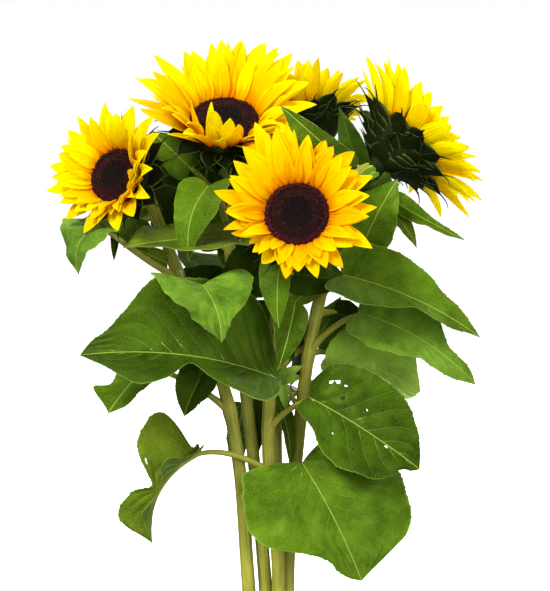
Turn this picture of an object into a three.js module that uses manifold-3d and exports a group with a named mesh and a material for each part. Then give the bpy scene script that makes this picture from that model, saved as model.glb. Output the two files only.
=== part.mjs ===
// A sunflower plant: five flowering stems that rise together from one root crown.
//
// Units are millimetres and degrees. +Z is up and the ground is z = 0, with the origin under the
// middle of the root crown. The plant is looked at from its front, along +Y. A heading is a compass
// direction counted anticlockwise from +X, and a rise is an angle above the level.
//
// Each leaf is one closed solid, its stalk and its blade together. Each flower head is three solids:
// the green cup with its bracts, the ring of ray petals, and the dark disc.

import * as THREE from "three";
import { mergeVertices } from "three/addons/utils/BufferGeometryUtils.js";
import Module from "manifold-3d";

const wasm = await Module();
wasm.setup();

// ---- Driving dimensions ------------------------------------------------------------------------

const CLEARANCE = 0.3; // between two solids that touch on the real plant

const CROWN = { radius: 31, height: 14, neck: 27, toeHeight: 5, sides: 16 };

const STEM = { foot: 6.3, top: 4.7, flare: 1.0, flareHeight: 30, sides: 8, steps: 14 };
const NECK = { swell: 3.2, reach: 0.1 }; // how the stem widens into the cup over its last tenth

const STALK = { root: 3.0, tip: 1.9, bow: 0.15, into: 0.06, sides: 5, steps: 4 };
const BLADE = { thickness: 1.8, fullness: 0.45, taper: 1.12, steps: 6, across: 4, crowding: 1.3 };
const WAIST = { at: 0.5, reach: 0.12 }; // where along the blade a nip narrows it, and how far it spreads

const CUP = { depth: 24, overhang: 5, base: 8, sides: 16 };
const BELLY = { down: 0.72, out: 0.62 }; // the cup's lower bulge, as shares of its depth and overhang
const SHOULDER = { down: 0.3, in: 0.6 }; // where the cup turns up to its rim
const BRACT = { count: 10, length: 25, width: 13, root: 5.5, thickness: 1.2, recurve: 6, steps: 2 };
const BRACT_ROWS = { belowRays: 20, sink: 6, apart: 4, outerDroop: 8 };

const RAY_RING = { width: 4.2, height: 3.6, sides: 16 };
const RAY = { root: 2.3, thickness: 1.4, recurve: 14, innerLift: 11, innerShare: 0.92, steps: 3 };
const PETAL = { bulge: 0.9, fullness: 0.5 }; // how far out a petal is widest, and how full its sides are
const WANDER = { angle: 0.5, length: 0.2, width: 0.24, rise: 7, recurve: 1 }; // how much petals differ

const DISC = { rise: 0.3, dimple: 0.12, edge: 1, roundness: 2.6, sides: 16, rings: 3 };

// The stems. foot is where the stem's middle stands on the crown, way is what it passes through,
// and neck is the straight length under its flower head.
const STEMS = {
  left: { foot: [-19, -4], way: [[-25, -6, 102], [-33, -8, 203], [-48, -8, 276], [-76, -8, 344]], neck: 22 },
  top: { foot: [-5, 7], way: [[-10, 8, 99], [-20, 10, 205], [-27, 13, 264], [-37, 20, 355]], neck: 40 },
  front: { foot: [1, -11], way: [[3, -9, 103], [-6, -12, 209], [-5, -16, 268], [2, -32, 342]], neck: 45 },
  right: { foot: [14, -3], way: [[12, 3, 100], [20, 8, 205], [32, 10, 306], [45, 8, 367]], neck: 35 },
  back: { foot: [10, 12], way: [[7, 20, 96], [1, 20, 203], [4, 26, 290], [26, 44, 398]], neck: 40 },
};

// The flower heads. at is the middle of the cup's upper face, faces is a heading and a rise, disc is
// the disc's radius, and spread is how far the petals stand up from the head's own level. gather and
// short name an angle round the head, and how much more the petals there stand up or fall short.
const HEADS = {
  left: { at: [-138, -30, 460], faces: [-119, 21], disc: 24, rays: 28, rayLength: 44, rayWidth: 14,
    spread: 28, gather: [10, 26], short: [310, 0.25], seed: 8 },
  top: { at: [-45, -10, 505], faces: [-90, 50], disc: 30, rays: 32, rayLength: 57, rayWidth: 16,
    spread: 28, gather: [270, 36], short: [270, 0.2], seed: 12 },
  front: { at: [19, -110, 432], faces: [-95, 22], disc: 26.5, rays: 30, rayLength: 46, rayWidth: 15,
    spread: 15, short: [215, 0.35], seed: 3 },
  right: { at: [111, 0, 485], faces: [28, 33], disc: 28, rays: 30, rayLength: 57, rayWidth: 16,
    spread: 33, seed: 4 },
  back: { at: [31, 65, 505], faces: [118, 58], disc: 25, rays: 28, rayLength: 46, rayWidth: 14,
    spread: 26, seed: 1 },
};

// The leaves. Each grows on a stem, at a share of its length. stalk is a heading, a rise and a
// length, and blade is a heading, a rise, a length and a width. The rest shape the blade: roll turns
// it about its length, arch lifts its middle, fold raises both halves, curl drops its margins, lobe
// draws its shoulders back, and nip narrows its waist. A higher fullness moves the widest place out
// from the foot, and a higher taper makes the tip sharper. twins are more blades on the same stalk.
const LEAVES = {
  outer_left: { stem: "left", up: 0.81, stalk: [-151, 25, 73], blade: [-150, -55, 49, 64],
    roll: 10, arch: 0.35, fold: 5, lobe: 0.1 },
  under_top_head: { stem: "top", up: 0.81, stalk: [-101, 39, 101], blade: [-125, -66, 85, 54],
    arch: 0.14, fold: 12, fullness: 0.6 },
  between_heads: { stem: "top", up: 0.85, stalk: [-140, 45, 61], blade: [177, 43, 48, 34], roll: 80 },
  level_left: { stem: "top", up: 0.76, stalk: [-67, 23, 64], blade: [-170, -3, 119, 60],
    roll: 22, fold: 18, arch: 0.04 },
  front_heart: { stem: "left", up: 0.79, stalk: [-74, -2, 93], blade: [-55, -59, 56, 106],
    arch: 0.14, lobe: 0.3, fullness: 0.3, taper: 1.2 },
  great_left: { stem: "front", up: 0.56, stalk: [-79, 29, 43], blade: [-169, 8, 176, 138],
    roll: 46, arch: 0.1, fold: 30, lobe: 0.2, fullness: 0.7, taper: 0.85 },
  under_front_head: { stem: "front", up: 0.83, stalk: [-102, 24, 47], blade: [-113, -84, 66, 35] },
  small_left: { stem: "left", up: 0.5, stalk: [-171, 30, 87], blade: [-163, -50, 52, 40],
    roll: 60 },
  folded_left: { stem: "left", up: 0.5, stalk: [-132, 61, 55], blade: [-170, -65, 54, 48],
    roll: 60, fold: 30 },
  twisted_left: { stem: "front", up: 0.4, stalk: [-160, 20, 70], blade: [-167, -62, 93, 116],
    roll: 20, lobe: 0.32, fold: 48, nip: 0.85 },
  great_right: { stem: "front", up: 0.33, stalk: [-55, 46, 65], blade: [-33, -58, 117, 146],
    roll: -42, fold: 4, curl: 0.12, lobe: 0.34, taper: 0.62 },
  broad_right: { stem: "front", up: 0.49, stalk: [-29, 37, 53], blade: [-15, -31, 117, 94],
    roll: -62, fold: 18, lobe: 0.24, taper: 0.6 },
  rear_right: { stem: "right", up: 0.54, stalk: [51, 26, 43], blade: [12, -24, 93, 96],
    roll: -60, taper: 0.8 },
  rear_right_upright: { stem: "right", up: 0.52, stalk: [5, 21, 29], blade: [6, 68, 49, 50], roll: -90 },
  pointed_right_lower: { stem: "right", up: 0.59, stalk: [-35, 37, 66], blade: [-9, -31, 123, 84],
    roll: -50, arch: 0.14, lobe: 0.1, fullness: 0.6 },
  pointed_right_upper: { stem: "right", up: 0.68, stalk: [-72, 27, 73], blade: [-7, -24, 133, 72],
    roll: -46, arch: 0.09, fold: 16, taper: 1.2 },
  upright_right: { stem: "right", up: 0.74, stalk: [-42, 31, 49], blade: [-21, 62, 71, 60], roll: -90 },
  narrow_right: { stem: "right", up: 0.85, stalk: [10, 19, 55], blade: [-11, -32, 73, 34],
    roll: -50, arch: 0.1, fold: 30 },
  curled_right: { stem: "right", up: 0.82, stalk: [11, 24, 56], blade: [-9, -54, 42, 18],
    roll: -50, fold: 20 },
  spear: { stem: "right", up: 0.9, stalk: [-86, 35, 45], blade: [-150, 36, 83, 24],
    roll: 80, fold: 30, arch: 0.06 },
  small_upper_right: { stem: "right", up: 0.9, stalk: [-30, 38, 40], blade: [-162, -31, 24, 11], roll: 60 },
  upright_middle: { stem: "right", up: 0.86, stalk: [67, 38, 49], blade: [162, 72, 43, 24], roll: 90 },
  inner_right: { stem: "back", up: 0.55, stalk: [14, 36, 42], blade: [13, 59, 48, 30],
    roll: -90 },
  centre_front: { stem: "front", up: 0.67, stalk: [-64, 42, 62], blade: [-165, -75, 61, 36], fold: 15 },
  centre_rear: { stem: "back", up: 0.62, stalk: [31, 46, 20], blade: [144, -84, 66, 42] },
  centre_drooping: { stem: "back", up: 0.48, stalk: [-87, 33, 20], blade: [-7, -80, 46, 24], fold: 20 },
  left_drooping: { stem: "back", up: 0.51, stalk: [162, -22, 35], blade: [123, -83, 63, 46] },
  upright_rear: { stem: "top", up: 0.7, stalk: [52, 53, 34], blade: [175, 84, 61, 54], roll: 90 },
  small_under_top_head: { stem: "top", up: 0.85, stalk: [-68, 34, 68], blade: [-168, -14, 21, 14], roll: 60 },
  side_shoot: { stem: "right", up: 0.47, stalk: [-160, 60, 38], blade: [-170, 20, 16, 12], roll: 40,
    slim: 0.8, twins: [{ blade: [-60, 40, 17, 12] }, { blade: [20, 50, 18, 12] }] },
  back_high_left: { stem: "left", up: 0.62, stalk: [123, 34, 32], blade: [111, -25, 114, 80] },
  back_high: { stem: "top", up: 0.72, stalk: [100, 30, 40], blade: [95, -25, 130, 92] },
  back_high_right: { stem: "back", up: 0.74, stalk: [45, 30, 40], blade: [40, -30, 120, 86] },
  back_low_left: { stem: "top", up: 0.55, stalk: [95, 35, 40], blade: [95, -30, 115, 86] },
  back_low_right: { stem: "back", up: 0.45, stalk: [60, 35, 45], blade: [55, -35, 125, 90] },
};

// ---- Directions and repeatable variety -----------------------------------------------------------

const radians = THREE.MathUtils.degToRad;
const lerp = THREE.MathUtils.lerp;

/** The unit vector of a heading and a rise. */
function direction(heading, rise) {
  const [h, r] = [radians(heading), radians(rise)];
  return new THREE.Vector3(Math.cos(h) * Math.cos(r), Math.sin(h) * Math.cos(r), Math.sin(r));
}

/** A number from 0 to 1 that is always the same for the same seed, item and trait. */
function vary(seed, item, trait) {
  const wave = Math.sin(seed * 78.233 + item * 12.9898 + trait * 37.719) * 43758.5453;
  return wave - Math.floor(wave);
}

// ---- Solids ----------------------------------------------------------------------------------------

/** The closed surface through a row of rings: a first or last ring of one point is an apex. */
function loft(rings) {
  const starts = rings.map((_, i) => rings.slice(0, i).reduce((count, ring) => count + ring.length, 0));
  const corner = (i, j) => starts[i] + (j % rings[i].length);
  const last = rings.length - 1;
  const index = [];
  for (let i = 0; i < last; i++) {
    for (let j = 0; j < Math.max(rings[i].length, rings[i + 1].length); j++) {
      const [a, b, c, d] = [corner(i, j), corner(i, j + 1), corner(i + 1, j + 1), corner(i + 1, j)];
      if (a !== b) index.push(a, b, c);
      if (c !== d) index.push(a, c, d);
    }
  }
  for (let j = 1; j + 1 < rings[0].length; j++) {
    index.push(corner(0, 0), corner(0, j + 1), corner(0, j));
  }
  for (let j = 1; j + 1 < rings[last].length; j++) {
    index.push(corner(last, 0), corner(last, j), corner(last, j + 1));
  }
  const geometry = new THREE.BufferGeometry();
  const positions = rings.flat().flatMap((point) => point.toArray());
  geometry.setAttribute("position", new THREE.Float32BufferAttribute(positions, 3));
  geometry.setIndex(index);
  return geometry;
}

/** A turned shape, from the radius and height of each corner of its profile. */
function turned(profile, sides) {
  const points = profile.map(([radius, height]) => new THREE.Vector2(radius, height));
  return new THREE.LatheGeometry(points, sides).rotateX(Math.PI / 2);
}

/** A geometry as a solid that can be joined and cut. */
function solid(geometry) {
  const bare = geometry.clone();
  bare.deleteAttribute("normal");
  bare.deleteAttribute("uv");
  const merged = mergeVertices(bare, 1e-4);
  return new wasm.Manifold(
    new wasm.Mesh({
      numProp: 3,
      vertProperties: new Float32Array(merged.attributes.position.array),
      triVerts: new Uint32Array(merged.index.array),
    }),
  );
}

/** A solid as a geometry. Any scrap that a cut has left apart from the largest body is dropped. */
function geometryOf(made) {
  const bodies = made.decompose().sort((a, b) => b.volume() - a.volume());
  const { vertProperties, triVerts } = bodies[0].getMesh();
  const geometry = new THREE.BufferGeometry();
  geometry.setAttribute("position", new THREE.Float32BufferAttribute(vertProperties, 3));
  geometry.setIndex(new THREE.Uint32BufferAttribute(triVerts, 1));
  return geometry.toNonIndexed();
}

/** Several solids joined into one, as a geometry. */
function joined(solids) {
  return geometryOf(wasm.Manifold.union(solids));
}

/** Rings of a round limb along a curve, whose radius is a function of the share of its length. */
function limbRings(curve, radiusAt, sides, steps) {
  const { normals, binormals } = curve.computeFrenetFrames(steps, false);
  return normals.map((across, i) =>
    Array.from({ length: sides }, (_, j) => {
      const angle = (2 * Math.PI * j) / sides;
      return curve
        .getPointAt(i / steps)
        .addScaledVector(across, radiusAt(i / steps) * Math.cos(angle))
        .addScaledVector(binormals[i], radiusAt(i / steps) * Math.sin(angle));
    }),
  );
}

// ---- Root crown ------------------------------------------------------------------------------------

/** The low woody crown: flat underneath, flaring at the ground, flat where the stems stand on it. */
function crownGeometry() {
  const { radius, height, neck, toeHeight, sides } = CROWN;
  const toe = [(radius + neck) / 2, toeHeight];
  return turned([[0, 0], [radius, 0], [radius, toeHeight / 2], toe, [neck, height], [0, height]], sides);
}

// ---- Stems -----------------------------------------------------------------------------------------

/** The way a stem runs: up from its foot, then straight into the back of its flower head. */
function stemCurve(name) {
  const { foot, way, neck } = STEMS[name];
  const faces = direction(...HEADS[name].faces);
  const back = new THREE.Vector3(...HEADS[name].at).addScaledVector(faces, -(CUP.depth + 2 * CLEARANCE));
  return new THREE.CatmullRomCurve3([
    new THREE.Vector3(...foot, CROWN.height + CLEARANCE),
    ...way.map((point) => new THREE.Vector3(...point)),
    back.clone().addScaledVector(faces, -neck),
    back,
  ]);
}

/** A stem as a tapering limb with a level foot, made thicker all over by a margin. */
function stemGeometry(name, margin = 0) {
  const curve = stemCurve(name);
  const length = curve.getLength();
  const radiusAt = (share) => {
    const flare = STEM.flare * Math.max(0, 1 - (share * length) / STEM.flareHeight);
    const swell = NECK.swell * Math.max(0, (share - 1 + NECK.reach) / NECK.reach);
    return lerp(STEM.foot, STEM.top, share) + flare + swell + margin;
  };
  const rings = limbRings(curve, radiusAt, STEM.sides, STEM.steps);
  rings[0].forEach((point) => point.setZ(CROWN.height + CLEARANCE));
  return loft(rings);
}

// ---- Leaves ----------------------------------------------------------------------------------------

/** Where a leaf's stalk leaves the middle of its stem. */
function stalkRoot(leaf) {
  return stemCurve(leaf.stem).getPointAt(leaf.up);
}

/** Where a leaf's blade begins. */
function bladeBase(leaf) {
  const [heading, rise, length] = leaf.stalk;
  return stalkRoot(leaf).addScaledVector(direction(heading, rise), length);
}

/** The curve of a leaf's stalk: bowed upwards, and bent over into the foot of its blade. */
function stalkCurve(leaf) {
  const [root, base] = [stalkRoot(leaf), bladeBase(leaf)];
  const handle = root.clone().lerp(base, 0.5);
  handle.z += STALK.bow * leaf.stalk[2];
  return new THREE.CubicBezierCurve3(root, handle, base, bladePoint(leaf, base, STALK.into, 0).point);
}

/** The blade's width at a share of its length, as a share of the widest. */
function bladeOutline(leaf, share) {
  const { fullness = BLADE.fullness, taper = BLADE.taper, nip = 0 } = leaf;
  const widest = fullness / (fullness + taper);
  const peak = widest ** fullness * (1 - widest) ** taper;
  const waist = 1 - nip * Math.exp(-(((share - WAIST.at) / WAIST.reach) ** 2));
  return (waist * share ** fullness * (1 - share) ** taper) / peak;
}

/** The three directions of a blade: along it, across it and out of its upper face. */
function bladeAxes(leaf) {
  const [heading, rise] = leaf.blade;
  const along = direction(heading, rise);
  const across = direction(heading - 90, 0).applyAxisAngle(along, -radians(leaf.roll ?? 0));
  return { along, across, out: new THREE.Vector3().crossVectors(across, along) };
}

/** A point of the blade's middle surface, and its normal: share from 0 to 1, side from -1 to 1. */
function bladePoint(leaf, base, share, side) {
  const [length, width] = leaf.blade.slice(2);
  const { arch = 0.1, fold = 10, curl = 0, lobe = 0.2 } = leaf;
  const { along, across, out } = bladeAxes(leaf);
  const slope = Math.atan(4 * arch * (1 - 2 * share));
  const tangent = along.clone().applyAxisAngle(across, slope);
  const normal = out.clone().applyAxisAngle(across, slope);
  const tilt = radians(fold) * Math.sign(side);
  const reach = (side * bladeOutline(leaf, share) * width) / 2;
  const back = lobe * length * side ** 2 * bladeOutline(leaf, share) * (1 - share) ** 3;
  const point = base
    .clone()
    .addScaledVector(along, share * length)
    .addScaledVector(out, 4 * arch * length * share * (1 - share))
    .addScaledVector(tangent, -back)
    .addScaledVector(across, reach * Math.cos(tilt))
    .addScaledVector(normal, reach * Math.sin(tilt) - (2 * curl * reach ** 2) / width);
  return { point, facing: normal.applyAxisAngle(tangent, -tilt) };
}

/** The blade as rings, over its upper face from side to side and back under its lower one. */
function bladeRings(leaf, base) {
  const { steps, across, thickness, crowding } = BLADE;
  const sides = Array.from({ length: across + 1 }, (_, j) => (2 * j) / across - 1);
  const rings = Array.from({ length: steps - 1 }, (_, i) => {
    const row = sides.map((side) => bladePoint(leaf, base, ((i + 1) / steps) ** crowding, side));
    const face = (lift) => row.map(({ point, facing }) => point.clone().addScaledVector(facing, lift));
    return [...face(thickness / 2), ...face(-thickness / 2).reverse()];
  });
  return [[bladePoint(leaf, base, 0, 0).point], ...rings, [bladePoint(leaf, base, 1, 0).point]];
}

/** A whole leaf: its blades joined to its stalk, and the stalk cut clear of the stem it grows on. */
function leafGeometry(leaf) {
  const stalkRadius = (share) => (leaf.slim ?? 1) * lerp(STALK.root, STALK.tip, share);
  const stalk = solid(loft(limbRings(stalkCurve(leaf), stalkRadius, STALK.sides, STALK.steps)));
  const base = bladeBase(leaf);
  const blades = [leaf, ...(leaf.twins ?? [])].map((blade) => solid(loft(bladeRings(blade, base))));
  const seat = solid(stemGeometry(leaf.stem, CLEARANCE));
  return geometryOf(wasm.Manifold.union([stalk, ...blades]).subtract(seat));
}

// ---- Flower heads ----------------------------------------------------------------------------------
// A head is built round its own axis: z = 0 is the top of the cup, +z is the way the flower faces,
// +x is level and +y is the upper side.

/** How far the petals stand up from the head's own level, at an angle round the head. */
function raySpread(head, angle) {
  const [towards, lift] = head.gather ?? [0, 0];
  return head.spread + lift * Math.max(0, Math.cos(radians(angle - towards))) ** 2;
}

/** How much a petal falls short of the full length, at an angle round the head. */
function rayShortness(head, angle) {
  const [towards, share] = head.short ?? [0, 0];
  return share * Math.max(0, Math.cos(radians(angle - towards)));
}

/** A petal or bract that leaves the head outwards: three-cornered rings from its root to its tip. */
function petalRings({ angle, from, level, length, width, rise, recurve, thickness, root, steps }) {
  const outward = direction(angle, 0);
  const sideways = direction(angle + 90, 0);
  const centre = outward.clone().multiplyScalar(from).setZ(level);
  return Array.from({ length: steps + 1 }, (_, i) => {
    const share = i / steps;
    const way = outward.clone().applyAxisAngle(sideways, -radians(rise + recurve * (1 - 2 * share)));
    const half = (width / 2) * Math.sin(Math.PI * share ** PETAL.bulge) ** PETAL.fullness;
    if (i > 0) centre.addScaledVector(way, length / steps);
    if (i === steps) return [centre];
    return [
      centre.clone().addScaledVector(sideways, i === 0 ? root : half),
      centre.clone().addScaledVector(way.cross(sideways), thickness / 2),
      centre.clone().addScaledVector(sideways, i === 0 ? -root : -half),
    ];
  });
}

/** The size and place of each ray petal of a head: two rows, the inner one standing up more. */
function rayPlan(head) {
  return Array.from({ length: head.rays }, (_, i) => {
    const inner = i % 2;
    const differ = (trait) => vary(head.seed, i, trait) - 0.5;
    const angle = (360 / head.rays) * (i + WANDER.angle * differ(1));
    const reach = head.rayLength * (1 + WANDER.length * differ(2)) * (1 - rayShortness(head, angle));
    return {
      ...RAY,
      angle,
      from: head.disc + RAY_RING.width * (inner ? 0.35 : 0.6),
      level: CLEARANCE + RAY_RING.height * (inner ? 0.65 : 0.35),
      length: reach * (inner ? RAY.innerShare : 1),
      width: head.rayWidth * (1 + WANDER.width * differ(3)),
      rise: raySpread(head, angle) + inner * RAY.innerLift + WANDER.rise * differ(4),
      recurve: RAY.recurve * (1 + WANDER.recurve * differ(5)),
    };
  });
}

/** The ring that the ray petals grow from, joined with all of them. */
function raysGeometry(head) {
  const [inside, outside] = [head.disc + CLEARANCE, head.disc + RAY_RING.width];
  const [low, high] = [CLEARANCE, CLEARANCE + RAY_RING.height];
  const profile = [[inside, low], [outside, low], [outside, high], [inside, high], [inside, low]];
  const ring = solid(turned(profile, RAY_RING.sides));
  return joined([ring, ...rayPlan(head).map((petal) => solid(loft(petalRings(petal))))]);
}

/** The dark disc: a low dome with a dimple in its middle. */
function discGeometry(head) {
  const { rise, dimple, edge, roundness, rings, sides } = DISC;
  const radius = head.disc - CLEARANCE;
  const dome = Array.from({ length: rings + 1 }, (_, i) => {
    const share = 1 - i / rings;
    const crest = head.disc * rise * Math.sqrt(1 - share ** roundness);
    const dip = head.disc * dimple * Math.max(0, 1 - share * 2) ** 1.5;
    return [radius * share, CLEARANCE + Math.max(edge, crest - dip)];
  });
  return turned([[0, CLEARANCE], [radius, CLEARANCE], ...dome], sides);
}

/** The size and place of each bract: two rows under the petals, the outer one drooping more. */
function bractPlan(head) {
  return Array.from({ length: BRACT.count }, (_, i) => {
    const outer = i % 2;
    const angle = (360 / BRACT.count) * (i + WANDER.angle * vary(head.seed, i, 6));
    const droop = BRACT_ROWS.belowRays + outer * BRACT_ROWS.outerDroop;
    return {
      ...BRACT,
      angle,
      from: head.disc + CUP.overhang - BRACT_ROWS.sink,
      level: -BRACT_ROWS.sink - outer * BRACT_ROWS.apart,
      length: BRACT.length * (0.9 + WANDER.length * vary(head.seed, i, 7)),
      rise: raySpread(head, angle) - droop,
    };
  });
}

/** The green cup behind the disc, joined with the pointed bracts that stand round it. */
function cupGeometry(head) {
  const { depth, overhang, base, sides } = CUP;
  const rim = head.disc + overhang;
  const belly = [lerp(base, rim, BELLY.out), -depth * BELLY.down];
  const shoulder = [rim - SHOULDER.in, -depth * SHOULDER.down];
  const cup = solid(turned([[0, -depth], [base, -depth], belly, shoulder, [rim, 0], [0, 0]], sides));
  return joined([cup, ...bractPlan(head).map((bract) => solid(loft(petalRings(bract))))]);
}

// ---- The plant -------------------------------------------------------------------------------------

const FINISHES = {
  crown: new THREE.MeshStandardMaterial({ color: 0x7c7440, roughness: 0.85, metalness: 0 }),
  stem: new THREE.MeshStandardMaterial({ color: 0x8a9440, roughness: 0.7, metalness: 0 }),
  leaf: new THREE.MeshStandardMaterial({ color: 0x4b7a1c, roughness: 0.55, metalness: 0 }),
  cup: new THREE.MeshStandardMaterial({ color: 0x2c4420, roughness: 0.8, metalness: 0 }),
  rays: new THREE.MeshStandardMaterial({ color: 0xffd400, roughness: 0.6, metalness: 0 }),
  disc: new THREE.MeshStandardMaterial({ color: 0x2b120c, roughness: 0.9, metalness: 0 }),
};

function named(name, geometry, finish) {
  const mesh = new THREE.Mesh(geometry, finish);
  mesh.name = name;
  return mesh;
}

/** A flower head's solids in a group that is placed and turned the way the flower faces. */
function headGroup(name, head) {
  const faces = direction(...head.faces);
  const level = direction(head.faces[0] + 90, 0);
  const upper = new THREE.Vector3().crossVectors(faces, level);
  const group = new THREE.Group();
  group.position.set(...head.at);
  group.quaternion.setFromRotationMatrix(new THREE.Matrix4().makeBasis(level, upper, faces));
  group.add(
    named(`cup_${name}`, cupGeometry(head), FINISHES.cup),
    named(`rays_${name}`, raysGeometry(head), FINISHES.rays),
    named(`disc_${name}`, discGeometry(head), FINISHES.disc),
  );
  return group;
}

const plant = new THREE.Group();
plant.add(named("root_crown", crownGeometry(), FINISHES.crown));
for (const name of Object.keys(STEMS)) {
  plant.add(named(`stem_${name}`, stemGeometry(name), FINISHES.stem));
}
for (const [name, head] of Object.entries(HEADS)) {
  plant.add(headGroup(name, head));
}
for (const [name, leaf] of Object.entries(LEAVES)) {
  plant.add(named(`leaf_${name}`, leafGeometry(leaf), FINISHES.leaf));
}

export default plant;
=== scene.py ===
"""A sunflower plant in full detail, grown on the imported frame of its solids.

The frame gives the plant's root crown, stems, leaves and flower heads as plain closed solids. Here each
of them is replaced by the real thing: thin veined blades with toothed margins, ribbed petals in rows,
pointed bracts, a spiral of disc florets, and stems with furrows and hairs. They grow by the same rules
as the solids. The heads and stems stand where their solids do. Most leaves do too, some hang a little
differently, and the small leaves deep between the stems have no solid at all.

Lengths are in millimetres and angles in degrees, and a mesh is turned to metres when it is made. A
heading is a compass direction counted anticlockwise from +X, and a rise is an angle above the level.
"""

from __future__ import annotations

import logging
import math
from dataclasses import dataclass
from enum import Enum
from functools import cached_property

import bpy
import numpy as np
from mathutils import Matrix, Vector

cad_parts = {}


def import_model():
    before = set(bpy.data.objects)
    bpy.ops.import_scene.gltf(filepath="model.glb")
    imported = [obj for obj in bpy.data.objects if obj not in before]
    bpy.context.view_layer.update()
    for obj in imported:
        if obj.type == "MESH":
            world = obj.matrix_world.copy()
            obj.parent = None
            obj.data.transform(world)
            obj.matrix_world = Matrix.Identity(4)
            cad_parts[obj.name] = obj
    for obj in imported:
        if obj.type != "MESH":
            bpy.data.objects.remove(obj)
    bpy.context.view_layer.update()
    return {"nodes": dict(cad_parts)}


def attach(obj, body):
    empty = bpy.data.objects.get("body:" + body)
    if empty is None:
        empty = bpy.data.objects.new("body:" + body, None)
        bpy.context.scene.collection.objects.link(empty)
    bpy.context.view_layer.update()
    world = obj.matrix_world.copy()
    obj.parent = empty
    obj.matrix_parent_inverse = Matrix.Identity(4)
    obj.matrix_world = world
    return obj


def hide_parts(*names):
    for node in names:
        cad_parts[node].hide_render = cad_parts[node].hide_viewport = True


log = logging.getLogger("sunflower")

Array = np.ndarray
Triple = tuple[float, float, float]

METRES = 0.001  # one millimetre in metres
CLEARANCE = 0.3  # between two solids of the frame that touch on the real plant
GOLDEN_ANGLE = math.pi * (3 - math.sqrt(5))  # from one disc floret to the next


class Slot(Enum):
    """The record's material slots."""

    CROWN = "woody_crown"
    STEM = "stem"
    LEAF = "leaf"
    BRACTS = "bracts"
    PETALS = "petals"
    DISC = "disc"


# ---- Directions, curves and repeatable variety ----------------------------------------------------


def direction(heading: float, rise: float) -> Array:
    """The unit vector of a heading and a rise."""
    h, r = math.radians(heading), math.radians(rise)
    return np.array([math.cos(h) * math.cos(r), math.sin(h) * math.cos(r), math.sin(r)])


def vary(seed: float, item: float, trait: float) -> float:
    """A number from 0 to 1 that is always the same for the same seed, item and trait."""
    wave = math.sin(seed * 78.233 + item * 12.9898 + trait * 37.719) * 43758.5453
    return wave - math.floor(wave)


def unit(vectors: Array) -> Array:
    """The same vectors with a length of 1."""
    return vectors / np.maximum(np.linalg.norm(vectors, axis=-1, keepdims=True), 1e-12)


def turned(vector: Array, axis: Array, angle: float) -> Array:
    """A vector turned about a unit axis.

    Args:
        vector: what is turned.
        axis: the unit axis.
        angle: in radians, by the right-hand rule.

    Returns:
        The turned vector.
    """
    return (
        vector * math.cos(angle)
        + np.cross(axis, vector) * math.sin(angle)
        + axis * float(axis @ vector) * (1 - math.cos(angle))
    )


def smooth(value: Array | float, low: float, high: float) -> Array:
    """A soft step from 0 at low to 1 at high."""
    share = np.clip((np.asarray(value, float) - low) / (high - low), 0, 1)
    return share * share * (3 - 2 * share)


def travelled(points: Array) -> Array:
    """How far it is along a line of points to each of them."""
    return np.concatenate([[0], np.cumsum(np.linalg.norm(np.diff(points, axis=0), axis=1))])


def swelling(share: Array, fullness: float, taper: float) -> Array:
    """A blade's width at a share of its length, as a share of its widest."""
    widest = fullness / (fullness + taper)
    return share**fullness * (1 - share) ** taper / (widest**fullness * (1 - widest) ** taper)


class Path:
    """A smooth curve through its way points, measured by its length."""

    def __init__(self, way: list[Array], bends: int = 60) -> None:
        """Draws the centripetal curve through the way points.

        Args:
            way: the points it passes through.
            bends: how many points are worked out between two of them.
        """
        ends = [2 * way[0] - way[1], *way, 2 * way[-1] - way[-2]]
        drawn = [way[0][None]]
        for before, start, end, after in zip(ends, ends[1:], ends[2:], ends[3:]):
            steps = ((before, start), (start, end), (end, after))
            first, middle, last = [math.sqrt(np.linalg.norm(b - a)) for a, b in steps]
            leave = (start - before) / first - (end - before) / (first + middle) + (end - start) / middle
            arrive = (end - start) / middle - (after - start) / (middle + last) + (after - end) / last
            t = (np.arange(bends) + 1)[:, None] / bends
            drawn.append(
                start
                + leave * middle * t
                + (3 * (end - start) - (2 * leave + arrive) * middle) * t**2
                + (2 * (start - end) + (leave + arrive) * middle) * t**3
            )
        self.points = np.concatenate(drawn)
        self.lengths = travelled(self.points)

    @property
    def length(self) -> float:
        """The whole length."""
        return float(self.lengths[-1])

    def at(self, share: Array | float) -> Array:
        """The point, or points, at a share of the length."""
        along = np.asarray(share, float) * self.length
        return np.stack([np.interp(along, self.lengths, self.points[:, k]) for k in range(3)], axis=-1)


# ---- Colours and nodes ------------------------------------------------------------------------------


def linear(code: str) -> tuple[float, float, float, float]:
    """The linear colour of an sRGB hex value.

    Args:
        code: six hex digits.

    Returns:
        Red, green, blue and an alpha of 1.
    """
    parts = [int(code[i : i + 2], 16) / 255 for i in (0, 2, 4)]
    red, green, blue = [c / 12.92 if c <= 0.04045 else ((c + 0.055) / 1.055) ** 2.4 for c in parts]
    return red, green, blue, 1.0


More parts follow.
